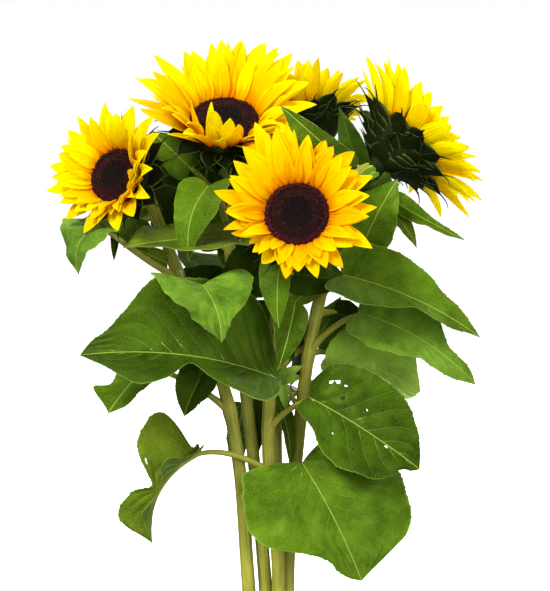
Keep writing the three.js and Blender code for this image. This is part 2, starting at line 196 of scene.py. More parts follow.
def add(
    tree: bpy.types.NodeTree,
    kind: str,
    inputs: dict[str | int, object] | None = None,
    stops: list[tuple[float, str]] | None = None,
    **settings: object,
) -> bpy.types.Node:
    """Adds a node with its settings and links.

    Args:
        tree: where the node goes.
        kind: the node's type, without ShaderNode where it begins with that.
        inputs: each socket's name or number with its value, or with the node or socket that feeds it.
        stops: the places and hex colours of a colour ramp.
        settings: the node's own properties.

    Returns:
        The node.
    """
    node = tree.nodes.new(kind if "Node" in kind else f"ShaderNode{kind}")
    for name, value in settings.items():
        setattr(node, name, value)
    for key, value in (inputs or {}).items():
        if isinstance(key, int):
            socket = node.inputs[key]
        else:
            socket = next(s for s in node.inputs if s.name == key and s.enabled)
        if isinstance(value, bpy.types.Node):
            value = next(s for s in value.outputs if s.enabled)
        if isinstance(value, bpy.types.NodeSocket):
            tree.links.new(value, socket)
        else:
            socket.default_value = value
    for place, code in stops or []:
        known = [e for e in node.color_ramp.elements if abs(e.position - place) < 1e-6]
        stop = known[0] if known else node.color_ramp.elements.new(place)
        stop.color = linear(code)
    return node


# ---- Finishes ---------------------------------------------------------------------------------------


@dataclass(frozen=True)
class Finish:
    """What a surface is made of: the base of every finish below."""

    name: str

    def shade(self, tree: bpy.types.NodeTree) -> bpy.types.Node:
        """Adds the shader's nodes and returns the shader."""
        raise NotImplementedError

    def material(self) -> bpy.types.Material:
        """The finish as a material, made when it is first asked for."""
        known = bpy.data.materials.get(self.name)
        if known:
            return known
        made = bpy.data.materials.new(self.name)
        made.use_nodes = True
        tree = made.node_tree
        tree.nodes.clear()
        add(tree, "OutputMaterial", {"Surface": self.shade(tree)})
        return made


@dataclass(frozen=True)
class LeafSkin(Finish):
    """Living leaf skin, waxy and finely hairy.

    Pale veins lie in a dark green blade whose small fields between them stand up a little, so light
    breaks up over it. Its underside is paler and duller, with the veins standing proud.
    """

    lit: str = "587a10"
    deep: str = "244404"
    vein: str = "a4b84c"
    roughness: float = 0.44
    relief: float = 0.5  # how far the fields stand up between the veins, in mm
    vein_width: float = 0.036  # as a share of the distance from one side vein to the next
    rib_width: float = 0.75  # the midrib's half width, in mm
    sheen: str = "c4e060"  # the tint of its gloss
    field_size: float = 2.8  # across one field of the net of small veins, in mm

    def shade(self, tree: bpy.types.NodeTree) -> bpy.types.Node:
        """Adds the shader's nodes and returns the shader."""
        ribs = add(tree, "SeparateXYZ", {0: add(tree, "UVMap", uv_map=Blade.VEINS)})
        plan = add(tree, "UVMap", uv_map=Blade.PLAN)
        place = add(tree, "SeparateXYZ", {0: plan})
        # side veins: whole numbers of the vein count are where they run
        count = add(tree, "Math", {0: ribs.outputs[0], 1: Blade.VEIN_SCALE}, operation="MULTIPLY")
        away = add(tree, "Math", {0: count, 1: 0.5}, operation="PINGPONG")
        width = add(tree, "MapRange",
                    {"Value": ribs.outputs[1], "To Min": self.vein_width, "To Max": self.vein_width * 0.3})
        side_veins = add(tree, "MapRange", {"Value": away, "From Max": width, "To Min": 1.0,
                                                      "To Max": 0.0}, interpolation_type="SMOOTHSTEP")
        # the midrib runs down the middle of the plan
        centred = add(tree, "Math", {0: place.outputs[0], 1: 0.5}, operation="SUBTRACT")
        across = add(tree, "Math", {0: centred}, operation="ABSOLUTE")
        rib = add(tree, "MapRange",
                  {"Value": across, "From Max": self.rib_width / Blade.PLAN_SCALE, "To Min": 1.0,
                   "To Max": 0.0}, interpolation_type="SMOOTHSTEP")
        veins = add(tree, "Math", {0: side_veins, 1: rib}, operation="MAXIMUM")
        # the net of small veins between them
        net = add(tree, "TexVoronoi",
                  {"Vector": plan, "Scale": Blade.PLAN_SCALE / self.field_size, "Randomness": 0.9},
                  feature="DISTANCE_TO_EDGE", voronoi_dimensions="2D")
        small = add(tree, "MapRange", {"Value": net, "From Max": 0.1, "To Min": 1.0,
                                                 "To Max": 0.0}, interpolation_type="SMOOTHSTEP")
        where = add(tree, "TexCoord").outputs["Object"]
        clouds = add(tree, "TexNoise", {"Vector": where, "Scale": 28.0, "Detail": 6.0,
                                                  "Roughness": 0.68})
        grain = add(tree, "TexNoise", {"Vector": where, "Scale": 420.0, "Detail": 2.0})
        mixed = add(tree, "Math", {0: grain, 1: 0.25, 2: clouds}, operation="MULTIPLY_ADD")
        green = add(tree, "ValToRGB", {"Fac": mixed},
                    stops=[(0.0, self.deep), (0.42, self.deep), (0.78, self.lit), (1.0, self.lit)])
        faint = add(tree, "Math", {0: small, 1: 0.14}, operation="MULTIPLY")
        thin = add(tree, "Math", {0: side_veins, 1: 0.45}, operation="MULTIPLY")
        margin = add(tree, "MapRange", {"Value": ribs.outputs[1], "From Min": 0.965, "To Max": 0.4})
        lines = add(tree, "Math", {0: thin, 1: margin}, operation="MAXIMUM")
        strong = add(tree, "Math", {0: lines, 1: rib}, operation="MAXIMUM")
        netted = add(tree, "Mix", {0: faint, 6: green, 7: linear(self.vein)}, data_type="RGBA")
        colour = add(tree, "Mix", {0: strong, 6: netted.outputs[2], 7: linear(self.vein)},
                     data_type="RGBA").outputs[2]
        hollow = add(tree, "Math", {0: small, 1: 0.35, 2: veins}, operation="MULTIPLY_ADD")
        rough = add(tree, "Math", {0: grain, 1: 0.35, 2: hollow}, operation="MULTIPLY_ADD")
        bump = add(tree, "Bump", {"Strength": 0.8, "Distance": self.relief * METRES,
                                            "Height": rough}, invert=True)
        return add(tree, "BsdfPrincipled",
                   {"Base Color": colour, "Roughness": self.roughness, "Normal": bump, "IOR": 1.45,
                    "Specular IOR Level": 0.4, "Specular Tint": linear(self.sheen)})


@dataclass(frozen=True)
class PetalSkin(Finish):
    """A ray petal's skin: silky and ribbed lengthwise, and thin enough for light to glow through.

    The base is a warm orange-yellow and the rest a clear yellow, painted darker in the folds and a touch
    lighter on the ridges: painted shade and highlight.
    """

    tip: str = "fff200"
    body: str = "ffe600"
    root: str = "ffb400"
    ribs: int = 7
    glow: float = 0.45

    def shade(self, tree: bpy.types.NodeTree) -> bpy.types.Node:
        """Adds the shader's nodes and returns the shader."""
        place = add(tree, "SeparateXYZ", {0: add(tree, "UVMap", uv_map=Petal.PLAN)})
        colour = add(tree, "ValToRGB", {"Fac": place.outputs[1]},
                     stops=[(0.0, self.root), (0.08, self.root), (0.32, self.body), (1.0, self.tip)])
        turn = add(tree, "Math", {0: place.outputs[0], 1: 2 * math.pi * self.ribs},
                   operation="MULTIPLY")
        ribs = add(tree, "Math", {0: turn}, operation="COSINE")
        where = add(tree, "TexCoord").outputs["Object"]
        grain = add(tree, "TexNoise", {"Vector": where, "Scale": 260.0, "Detail": 3.0})
        height = add(tree, "Math", {0: ribs, 1: 0.5, 2: grain}, operation="MULTIPLY_ADD")
        # painted shade and highlight: the colour darkens in the folds between the ribs and lightens a touch
        # on their ridges
        shaded = add(tree, "MapRange", {"Value": height, "From Min": -0.1, "From Max": 1.0,
                                                  "To Min": 0.86, "To Max": 1.04})
        fold_shaded_colour = add(tree, "Mix", {0: 1.0, 6: colour, 7: shaded}, data_type="RGBA",
                     blend_type="MULTIPLY").outputs[2]
        bump = add(tree, "Bump", {"Strength": 0.5, "Distance": 0.3 * METRES, "Height": height})
        skin = add(tree, "BsdfPrincipled",
                   {"Base Color": fold_shaded_colour, "Roughness": 0.6, "Normal": bump, "IOR": 1.4,
                    "Specular IOR Level": 0.2, "Specular Tint": linear(self.tip)})
        through = add(tree, "BsdfTranslucent", {"Color": fold_shaded_colour, "Normal": bump})
        return add(tree, "MixShader", {0: self.glow, 1: skin, 2: through})


@dataclass(frozen=True)
class FloretSkin(Finish):
    """A disc floret's skin: dry and velvety, so dark that only its edges catch the light."""

    dark: str = "160605"
    light: str = "3a120c"

    def shade(self, tree: bpy.types.NodeTree) -> bpy.types.Node:
        """Adds the shader's nodes and returns the shader."""
        where = add(tree, "TexCoord").outputs["Object"]
        specks = add(tree, "TexNoise", {"Vector": where, "Scale": 520.0, "Detail": 3.0})
        colour = add(tree, "ValToRGB", {"Fac": specks},
                     stops=[(0.0, self.dark), (0.45, self.dark), (0.62, self.light), (1.0, self.light)])
        bump = add(tree, "Bump", {"Strength": 0.6, "Distance": 0.2 * METRES, "Height": specks})
        return add(tree, "BsdfPrincipled",
                   {"Base Color": colour, "Roughness": 0.85, "Normal": bump, "Specular IOR Level": 0.25})


@dataclass(frozen=True)
class BractSkin(Finish):
    """A bract's skin: leafy, dark and downy, with a paler fringe of hairs at its edge."""

    middle: str = "121a08"
    edge: str = "5a7030"
    sheen: str = "8c9a58"  # the tint of its gloss

    def shade(self, tree: bpy.types.NodeTree) -> bpy.types.Node:
        """Adds the shader's nodes and returns the shader."""
        place = add(tree, "SeparateXYZ", {0: add(tree, "UVMap", uv_map=Petal.PLAN)})
        centred = add(tree, "Math", {0: place.outputs[0], 1: 0.5}, operation="SUBTRACT")
        side = add(tree, "Math", {0: centred}, operation="ABSOLUTE")
        where = add(tree, "TexCoord").outputs["Object"]
        grain = add(tree, "TexNoise", {"Vector": where, "Scale": 340.0, "Detail": 4.0})
        mixed = add(tree, "Math", {0: grain, 1: 0.16, 2: side}, operation="MULTIPLY_ADD")
        colour = add(tree, "ValToRGB", {"Fac": mixed},
                     stops=[(0.0, self.middle), (0.5, self.middle), (0.64, self.edge), (1.0, self.edge)])
        bump = add(tree, "Bump", {"Strength": 0.6, "Distance": 0.3 * METRES, "Height": grain})
        return add(tree, "BsdfPrincipled",
                   {"Base Color": colour, "Roughness": 0.62, "Normal": bump, "Specular IOR Level": 0.25,
                    "Specular Tint": linear(self.sheen)})


@dataclass(frozen=True)
class Rind(Finish):
    """The rind of a stem or stalk: fibrous green with lengthwise streaks, rough with hair bases."""

    light: str = "c0bc46"
    dark: str = "7c8420"
    streak: float = 0.004  # how far the pattern moves on for each millimetre along, so streaks are long

    def shade(self, tree: bpy.types.NodeTree) -> bpy.types.Node:
        """Adds the shader's nodes and returns the shader."""
        around = add(tree, "Attribute", attribute_name=Limbs.AROUND).outputs["Vector"]
        along = add(tree, "Attribute", attribute_name=Limbs.ALONG).outputs["Fac"]
        drawn = add(tree, "Math", {0: along, 1: self.streak}, operation="MULTIPLY")
        lift = add(tree, "CombineXYZ", {2: drawn})
        place = add(tree, "VectorMath", {0: around, 1: lift})
        streaks = add(tree, "TexNoise", {"Vector": place, "Scale": 7.0, "Detail": 5.0,
                                                   "Roughness": 0.65})
        where = add(tree, "TexCoord").outputs["Object"]
        blots = add(tree, "TexNoise", {"Vector": where, "Scale": 30.0, "Detail": 3.0})
        bases = add(tree, "TexVoronoi", {"Vector": where, "Scale": 700.0})
        mixed = add(tree, "Mix", {0: 0.4, 2: streaks, 3: blots})
        colour = add(tree, "ValToRGB", {"Fac": mixed},
                     stops=[(0.0, self.dark), (0.38, self.dark), (0.62, self.light), (1.0, self.light)])
        height = add(tree, "Math", {0: bases, 1: 0.3, 2: streaks}, operation="MULTIPLY_ADD")
        bump = add(tree, "Bump", {"Strength": 0.7, "Distance": 0.4 * METRES, "Height": height})
        return add(tree, "BsdfPrincipled",
                   {"Base Color": colour, "Roughness": 0.55, "Normal": bump, "Specular IOR Level": 0.4})


@dataclass(frozen=True)
class Hair(Finish):
    """A stem's stiff hair: glassy and nearly colourless."""

    colour: str = "dfe4b4"

    def shade(self, tree: bpy.types.NodeTree) -> bpy.types.Node:
        """Adds the shader's nodes and returns the shader."""
        return add(tree, "BsdfPrincipled", {"Base Color": linear(self.colour), "Roughness": 0.4})


@dataclass(frozen=True)
class StudioFloor(Finish):
    """Matt white studio paint that glows, a little near the plant and more so further out, like a still-life
    table lit from behind: a painted glow.

    Near the plant it still takes a soft shadow, and further out it runs into the white background.
    """

    paint: str = "fbfbfb"
    near: float = 0.42
    far: float = 0.9
    reach: float = 1.6  # how far out it is fully lit, in metres

    def shade(self, tree: bpy.types.NodeTree) -> bpy.types.Node:
        """Adds the shader's nodes and returns the shader."""
        where = add(tree, "TexCoord").outputs["Object"]
        out = add(tree, "VectorMath", {0: where}, operation="LENGTH")
        # painted glow: the emission rises from near the plant to far out, so the distant floor turns white
        lit = add(tree, "MapRange", {"Value": out, "From Min": 0.3, "From Max": self.reach,
                                               "To Min": self.near, "To Max": self.far})
        return add(tree, "BsdfPrincipled",
                   {"Base Color": linear(self.paint), "Roughness": 0.9, "Emission Color": linear(self.paint),
                    "Emission Strength": lit})


# ---- Meshes in the making ---------------------------------------------------------------------------


@dataclass
class Sheet:
    """A thin closed blade, from a grid of points on its middle surface.

    Attributes:
        middle: rows by columns of points.
        facing: the upper face's direction at each point.
        thickness: from face to face.
        keep: which cells are there, for a blade with holes in it.
    """

    middle: Array
    facing: Array
    thickness: float
    keep: Array | None = None

    @cached_property
    def cells(self) -> tuple[Array, Array]:
        """Each kept cell's four corners, wound to face up, and its number in the whole grid."""
        rows, columns = self.middle.shape[:2]
        index = np.arange(rows * columns).reshape(rows, columns)
        quads = np.stack([index[:-1, :-1], index[:-1, 1:], index[1:, 1:], index[1:, :-1]], axis=-1)
        quads = quads.reshape(-1, 4)
        flat = self.middle.reshape(-1, 3)
        normals = np.cross(flat[quads[:, 2]] - flat[quads[:, 0]], flat[quads[:, 3]] - flat[quads[:, 1]])
        if (normals * self.facing.reshape(-1, 3)[quads[:, 0]]).sum() < 0:
            quads = quads[:, ::-1]
        number = np.arange(len(quads))
        return (quads, number) if self.keep is None else (quads[self.keep.ravel()], number[self.keep.ravel()])

    def faces(self) -> tuple[Array, Array, Array, Array]:
        """Closes the sheet.

        Returns:
            The corners, the four-sided faces, which side each face is on (0 upper, 1 lower, 2 rim), and
            the number of the cell that each face belongs to.
        """
        quads, number = self.cells
        count = self.middle.shape[0] * self.middle.shape[1]
        corners = np.concatenate([
            (self.middle + self.facing * self.thickness / 2).reshape(-1, 3),
            (self.middle - self.facing * self.thickness / 2).reshape(-1, 3),
        ])
        edges = np.concatenate([quads[:, [k, (k + 1) % 4]] for k in range(4)])
        owners = np.tile(number, 4)
        outer = ~np.isin(edges[:, 1] * count + edges[:, 0], edges[:, 0] * count + edges[:, 1])
        rim = edges[outer]
        wall = np.stack([rim[:, 1], rim[:, 0], rim[:, 0] + count, rim[:, 1] + count], axis=-1)
        faces = np.concatenate([quads, quads[:, ::-1] + count, wall])
        sides = np.repeat([0, 1, 2], [len(quads), len(quads), len(wall)])
        return corners, faces, sides, np.concatenate([number, number, owners[outer]])


class Piece:
    """A mesh in the making, gathered from sheets."""

    def __init__(self) -> None:
        """Starts with nothing."""
        self.corners: list[Array] = []
        self.faces: list[Array] = []
        self.finishes: list[Array] = []
        self.flat: list[Array] = []
        self.maps: dict[str, list[Array]] = {}
        self.count = 0

    def lay(self, sheet: Sheet, maps: dict[str, Array], finishes: tuple[int, int] = (0, 0)) -> None:
        """Adds a sheet.

        Args:
            sheet: the sheet.
            maps: for each UV map, the places of each cell's four corners in the sheet's own order.
            finishes: the number of the upper and the lower face's finish.
        """
        corners, faces, sides, owners = sheet.faces()
        quads, number = sheet.cells
        cell_of = np.full(number.max() + 1, -1)
        cell_of[number] = np.arange(len(number))
        own = quads[cell_of[owners]]
        count = sheet.middle.shape[0] * sheet.middle.shape[1]
        match = (own[:, None, :] == (faces % count)[:, :, None]).argmax(axis=2)
        for name, places in maps.items():
            at = places[number][cell_of[owners][:, None], match]
            self.maps.setdefault(name, []).append(at)
        self.corners.append(corners)
        self.faces.append(faces + self.count)
        self.finishes.append(np.where(sides == 0, finishes[0], finishes[1]))
        self.flat.append(sides == 2)
        self.count += len(corners)

    def mesh(self, name: str, finishes: list[Finish]) -> bpy.types.Mesh:
        """Makes the Blender mesh, in metres.

        Args:
            name: the mesh's name.
            finishes: the finishes, in the order of their numbers.

        Returns:
            The mesh.
        """
        made = bpy.data.meshes.new(name)
        faces = np.concatenate(self.faces)
        made.from_pydata((np.concatenate(self.corners) * METRES).tolist(), [], faces.tolist())
        for label, places in self.maps.items():
            layer = made.uv_layers.new(name=label)
            layer.uv.foreach_set("vector", np.concatenate(places).astype(np.float32).ravel())
        for finish in finishes:
            made.materials.append(finish.material())
        made.polygons.foreach_set("material_index", np.concatenate(self.finishes).astype(np.int32))
        made.polygons.foreach_set("use_smooth", ~np.concatenate(self.flat))
        made.update()
        return made


def cell_corners(sheet: Sheet, places: Array) -> Array:
    """Each cell's four corners' places on a map that has one place for each point of the grid.

    Args:
        sheet: the sheet.
        places: rows by columns of places on the map.

    Returns:
        Cells by four corners of places, for every cell of the grid.
    """
    whole = Sheet(sheet.middle, sheet.facing, sheet.thickness)
    return places.reshape(-1, 2)[whole.cells[0]]


def joined(name: str, meshes: list[bpy.types.Mesh]) -> bpy.types.Object:
    """Joins meshes into one new object at the origin.

    Args:
        name: the object's name.
        meshes: what is joined.

    Returns:
        The object.
    """
    parts = [bpy.data.objects.new(f"{name}.{i}", mesh) for i, mesh in enumerate(meshes)]
    for part in parts:
        bpy.context.scene.collection.objects.link(part)
    if len(parts) > 1:
        with bpy.context.temp_override(active_object=parts[0], selected_editable_objects=parts):
            bpy.ops.object.join()
    parts[0].name = name
    parts[0].data.name = name
    return parts[0]


def lofted(name: str, rings: Array, finish: Finish | None = None) -> bpy.types.Mesh:
    """Skins a stack of rings and closes its two ends.

    Args:
        name: the mesh's name.
        rings: rings by corners of points, from the lower end to the upper one, in millimetres.
        finish: what it is made of, unless that is settled later.

    Returns:
        The mesh, in metres.
    """
    index = np.arange(rings.shape[0] * rings.shape[1]).reshape(rings.shape[:2])
    onward = np.roll(index, -1, axis=1)
    faces = np.stack([index[:-1], onward[:-1], onward[1:], index[1:]], -1).reshape(-1, 4).tolist()
    faces += [index[0][::-1].tolist(), index[-1].tolist()]
    made = bpy.data.meshes.new(name)
    made.from_pydata((rings.reshape(-1, 3) * METRES).tolist(), [], faces)
    if finish:
        made.materials.append(finish.material())
    made.polygons.foreach_set("use_smooth", np.full(len(faces), True))
    return made


def circle(radius: Array | float, z: float, angle: Array) -> Array:
    """The corners of a level ring."""
    return np.stack([radius * np.cos(angle), radius * np.sin(angle), np.full_like(angle, z)], 1)


# ---- What Geometry Nodes grow -----------------------------------------------------------------------


class Growth:
    """A Geometry Nodes tree with named inputs: the base of the three trees below."""

    name = ""
    inputs: dict[str, str] = {}

    def __init__(self) -> None:
        """Builds the tree, from its input geometry to its output."""
        self.tree = bpy.data.node_groups.new(self.name, "GeometryNodeTree")
        self.tree.interface.new_socket("Geometry", in_out="INPUT", socket_type="NodeSocketGeometry")
        for name, kind in self.inputs.items():
            self.tree.interface.new_socket(name, in_out="INPUT", socket_type=f"NodeSocket{kind}")
        self.tree.interface.new_socket("Geometry", in_out="OUTPUT", socket_type="NodeSocketGeometry")
        given = add(self.tree, "NodeGroupInput").outputs
        smooth_shaded = add(self.tree, "GeometryNodeSetShadeSmooth", {0: self.grow(given)})
        whole = add(self.tree, "GeometryNodeRealizeInstances", {"Geometry": smooth_shaded})
        dressed = add(self.tree, "GeometryNodeSetMaterial", {"Geometry": whole, "Material": given["Finish"]})
        add(self.tree, "NodeGroupOutput", {0: dressed})

    def grow(self, given: bpy.types.NodeOutputs) -> bpy.types.Node:
        """Adds the tree's own nodes and returns the last of them."""
        raise NotImplementedError

    def on(self, mesh: bpy.types.Mesh, **inputs: object) -> bpy.types.Mesh:
        """Grows the tree on a mesh.

        Args:
            mesh: what it grows on.
            inputs: the tree's inputs, each named in lower case with underscores.

        Returns:
            What has grown, as a plain mesh.
        """
        base = bpy.data.objects.new(self.name, mesh)
        bpy.context.scene.collection.objects.link(base)
        modifier = base.modifiers.new(self.name, "NODES")
        modifier.node_group = self.tree
        for item in self.tree.interface.items_tree:
            key = item.name.lower().replace(" ", "_")
            if item.in_out == "INPUT" and key in inputs:
                modifier[item.identifier] = inputs[key]
        graph = bpy.context.evaluated_depsgraph_get()
        grown = bpy.data.meshes.new_from_object(base.evaluated_get(graph), preserve_all_data_layers=True,
                                                depsgraph=graph)
        base.modifiers.remove(modifier)
        bpy.data.objects.remove(base)
        return grown


@dataclass
class Strand:
    """The middle line of a round limb, and its radius at each point of it."""

    points: Array
    radii: Array


class Limbs(Growth):
    """Round limbs swept along their middle lines, with furrows down their sides."""

    name = "limbs"
    inputs = {"Sides": "Int", "Furrows": "Int", "Furrow depth": "Float", "Finish": "Material"}
    RADIUS = "limb_radius"
    ALONG = "limb_along"
    AROUND = "limb_around"

    def grow(self, given: bpy.types.NodeOutputs) -> bpy.types.Node:
        """Sweeps a furrowed ring along each line of the input mesh."""
        tree = self.tree
        ring = add(tree, "GeometryNodeCurvePrimitiveCircle", {"Resolution": given["Sides"], "Radius": 1.0})
        corner = add(tree, "GeometryNodeInputPosition")
        marked = add(tree, "GeometryNodeStoreNamedAttribute",
                     {"Geometry": ring, "Name": self.AROUND, "Value": corner}, data_type="FLOAT_VECTOR",
                     domain="POINT")
        step = add(tree, "Math", {0: 2 * math.pi, 1: given["Sides"]}, operation="DIVIDE")
        turn = add(tree, "Math", {0: step, 1: given["Furrows"]}, operation="MULTIPLY")
        angle = add(tree, "Math", {0: add(tree, "GeometryNodeInputIndex"), 1: turn},
                    operation="MULTIPLY")
        wave = add(tree, "Math", {0: angle}, operation="COSINE")
        depth = add(tree, "Math", {0: wave, 1: given["Furrow depth"]}, operation="MULTIPLY")
        push = add(tree, "VectorMath", {0: corner, "Scale": depth}, operation="SCALE")
        furrowed = add(tree, "GeometryNodeSetPosition", {"Geometry": marked, "Offset": push})
        lines = add(tree, "GeometryNodeMeshToCurve", {"Mesh": given["Geometry"]})
        radius = add(tree, "GeometryNodeInputNamedAttribute", {"Name": self.RADIUS})
        return add(tree, "GeometryNodeCurveToMesh", {"Curve": lines, "Profile Curve": furrowed,
                                                     "Scale": radius, "Fill Caps": True})

    def along(self, strands: list[Strand], finish: Finish, sides: int, furrows: int = 0,
              furrow_depth: float = 0.0) -> bpy.types.Mesh:
        """Sweeps limbs along their strands.

        Args:
            strands: the middle lines and radii, in millimetres.
            finish: what the limbs are made of.
            sides: how many flats go round a limb.
            furrows: how many furrows go round it.
            furrow_depth: their depth, as a share of the radius.

        Returns:
            The limbs' mesh, in metres.
        """
        lines = bpy.data.meshes.new(self.name)
        starts = np.cumsum([0] + [len(s.points) for s in strands])
        edges = [(a + i, a + i + 1) for a, s in zip(starts, strands) for i in range(len(s.points) - 1)]
        lines.from_pydata((np.concatenate([s.points for s in strands]) * METRES).tolist(), edges, [])
        for name, values in ((self.RADIUS, np.concatenate([s.radii for s in strands]) * METRES),
                             (self.ALONG, np.concatenate([travelled(s.points) for s in strands]))):
            kept = lines.attributes.new(name, "FLOAT", "POINT")
            kept.data.foreach_set("value", values.astype(np.float32))
        return self.on(lines, sides=sides, furrows=furrows, furrow_depth=furrow_depth,
                       finish=finish.material())


class Hairs(Growth):
    """Stiff hairs scattered over a surface, each leaning a little its own way."""

    name = "hairs"
    inputs = {"Density": "Float", "Length": "Float", "Thickness": "Float", "Lean": "Float", "Seed": "Int",
              "Finish": "Material"}

    def grow(self, given: bpy.types.NodeOutputs) -> bpy.types.Node:
        """Stands a slender cone on each scattered point."""
        tree = self.tree
        spots = add(tree, "GeometryNodeDistributePointsOnFaces",
                    {"Mesh": given["Geometry"], "Density": given["Density"], "Seed": given["Seed"]})
        cone = add(tree, "GeometryNodeMeshCone",
                   {"Vertices": 3, "Radius Top": 0.0, "Radius Bottom": given["Thickness"],
                    "Depth": given["Length"]})
        lean = add(tree, "Math", {0: given["Lean"], 1: -1.0}, operation="MULTIPLY")
        askew = add(tree, "FunctionNodeRandomValue", {2: lean, 3: given["Lean"], "Seed": given["Seed"]},
                    data_type="FLOAT")
        tilt = add(tree, "CombineXYZ", {0: askew.outputs[1], 1: askew.outputs[1]})
        leaning = add(tree, "FunctionNodeRotateRotation",
                      {"Rotation": spots.outputs["Rotation"],
                       "Rotate By": add(tree, "FunctionNodeEulerToRotation", {"Euler": tilt})},
                      rotation_space="LOCAL")
        size = add(tree, "FunctionNodeRandomValue", {2: 0.5, 3: 1.2, "Seed": 3}, data_type="FLOAT")
        return add(tree, "GeometryNodeInstanceOnPoints",
                   {"Points": spots, "Instance": cone, "Rotation": leaning, "Scale": size.outputs[1]})


class Florets(Growth):
    """One zone of a disc: florets on the sunflower's spiral, standing out of its dome."""

    name = "florets"
    inputs = {"First": "Int", "Count": "Int", "Whole count": "Int", "Disc radius": "Float",
              "Dome height": "Float", "Dimple": "Float", "Roundness": "Float", "Splay": "Float",
              "Floret": "Object", "Finish": "Material"}

    def grow(self, given: bpy.types.NodeOutputs) -> bpy.types.Node:
        """Sets a floret at each step of the golden angle, leaning outwards as the dome does."""
        tree = self.tree
        number = add(tree, "Math", {0: add(tree, "GeometryNodeInputIndex"), 1: given["First"]},
                     operation="ADD")
        middle = add(tree, "Math", {0: number, 1: 0.5}, operation="ADD")
        part = add(tree, "Math", {0: middle, 1: given["Whole count"]}, operation="DIVIDE")
        share = add(tree, "Math", {0: part}, operation="SQRT")
        angle = add(tree, "Math", {0: number, 1: GOLDEN_ANGLE}, operation="MULTIPLY")
        out = add(tree, "Math", {0: share, 1: given["Disc radius"]}, operation="MULTIPLY")
        way_x = add(tree, "Math", {0: angle}, operation="COSINE")
        way_y = add(tree, "Math", {0: angle}, operation="SINE")
        way = add(tree, "CombineXYZ", {0: way_x, 1: way_y})
        # the dome falls away to its edge and has a dimple in its middle
        fall = add(tree, "Math", {0: share, 1: given["Roundness"]}, operation="POWER")
        left = add(tree, "Math", {0: 1.0, 1: fall}, operation="SUBTRACT")
        crest = add(tree, "Math", {0: left}, operation="SQRT")
        dome = add(tree, "Math", {0: crest, 1: given["Dome height"]}, operation="MULTIPLY")
        near = add(tree, "MapRange", {"Value": share, "From Max": 0.5, "To Min": 1.0,
                                                "To Max": 0.0}, interpolation_type="SMOOTHSTEP")
        dip = add(tree, "Math", {0: near, 1: given["Dimple"]}, operation="MULTIPLY")
        height = add(tree, "Math", {0: dome, 1: dip}, operation="SUBTRACT")
        lift = add(tree, "CombineXYZ", {2: height})
        reach = add(tree, "VectorMath", {0: way, "Scale": out}, operation="SCALE")
        place = add(tree, "VectorMath", {0: reach, 1: lift})
        spots = add(tree, "GeometryNodePoints", {"Count": given["Count"], "Position": place})
        splay = add(tree, "Math", {0: share, 1: given["Splay"]}, operation="MULTIPLY")
        lean = add(tree, "VectorMath", {0: way, "Scale": splay}, operation="SCALE")
        up = add(tree, "VectorMath", {0: lean, 1: (0.0, 0.0, 1.0)})
        stand = add(tree, "FunctionNodeAlignRotationToVector", {"Vector": up}, axis="Z")
        size = add(tree, "FunctionNodeRandomValue", {2: 0.85, 3: 1.2, "Seed": 5}, data_type="FLOAT")
        floret = add(tree, "GeometryNodeObjectInfo", {"Object": given["Floret"]})
        return add(tree, "GeometryNodeInstanceOnPoints",
                   {"Points": spots, "Instance": floret.outputs["Geometry"], "Rotation": stand,
                    "Scale": size.outputs[1]})


# ---- Stems and the root crown -----------------------------------------------------------------------


@dataclass
class Stem:
    """A flowering stem, from the root crown to the back of its flower head."""

    name: str
    foot: tuple[float, float]
    way: tuple[Triple, ...]
    neck: float
    head: Head
    crown_height: float = 14.0
    foot_radius: float = 6.3
    top_radius: float = 4.7
    flare: float = 1.0
    flare_height: float = 30.0
    swell: float = 3.2
    swell_reach: float = 0.1
    knot: float = 0.45  # how far the stem swells where a leaf leaves it
    knot_reach: float = 7.0
    rings: int = 150
    sides: int = 36
    furrows: int = 9
    furrow_depth: float = 0.045  # as a share of the radius

    @cached_property
    def path(self) -> Path:
        """The way the stem runs: up from its foot, then straight into the back of its head."""
        faces = direction(*self.head.faces)
        back = np.array(self.head.at, float) - faces * (self.head.cup_depth + 2 * CLEARANCE)
        foot = np.array([*self.foot, self.crown_height + CLEARANCE])
        return Path([foot, *(np.array(p, float) for p in self.way), back - faces * self.neck, back])

    def radius(self, share: Array) -> Array:
        """The stem's radius at a share of its length."""
        flare = self.flare * np.maximum(0, 1 - share * self.path.length / self.flare_height)
        swell = self.swell * np.maximum(0, (share - 1 + self.swell_reach) / self.swell_reach)
        return self.foot_radius + (self.top_radius - self.foot_radius) * share + flare + swell

    def strand(self, nodes: list[float]) -> Strand:
        """The stem's middle line and radii, a little swollen where leaves leave it.

        Args:
            nodes: the shares of its length at which leaves grow.

        Returns:
            The strand.
        """
        share = np.linspace(0, 1, self.rings)
        away = [(share - up) * self.path.length / self.knot_reach for up in nodes]
        knots = sum(self.knot * np.exp(-(gap**2)) for gap in away)
        return Strand(self.path.at(share), self.radius(share) + np.minimum(knots, 2 * self.knot))


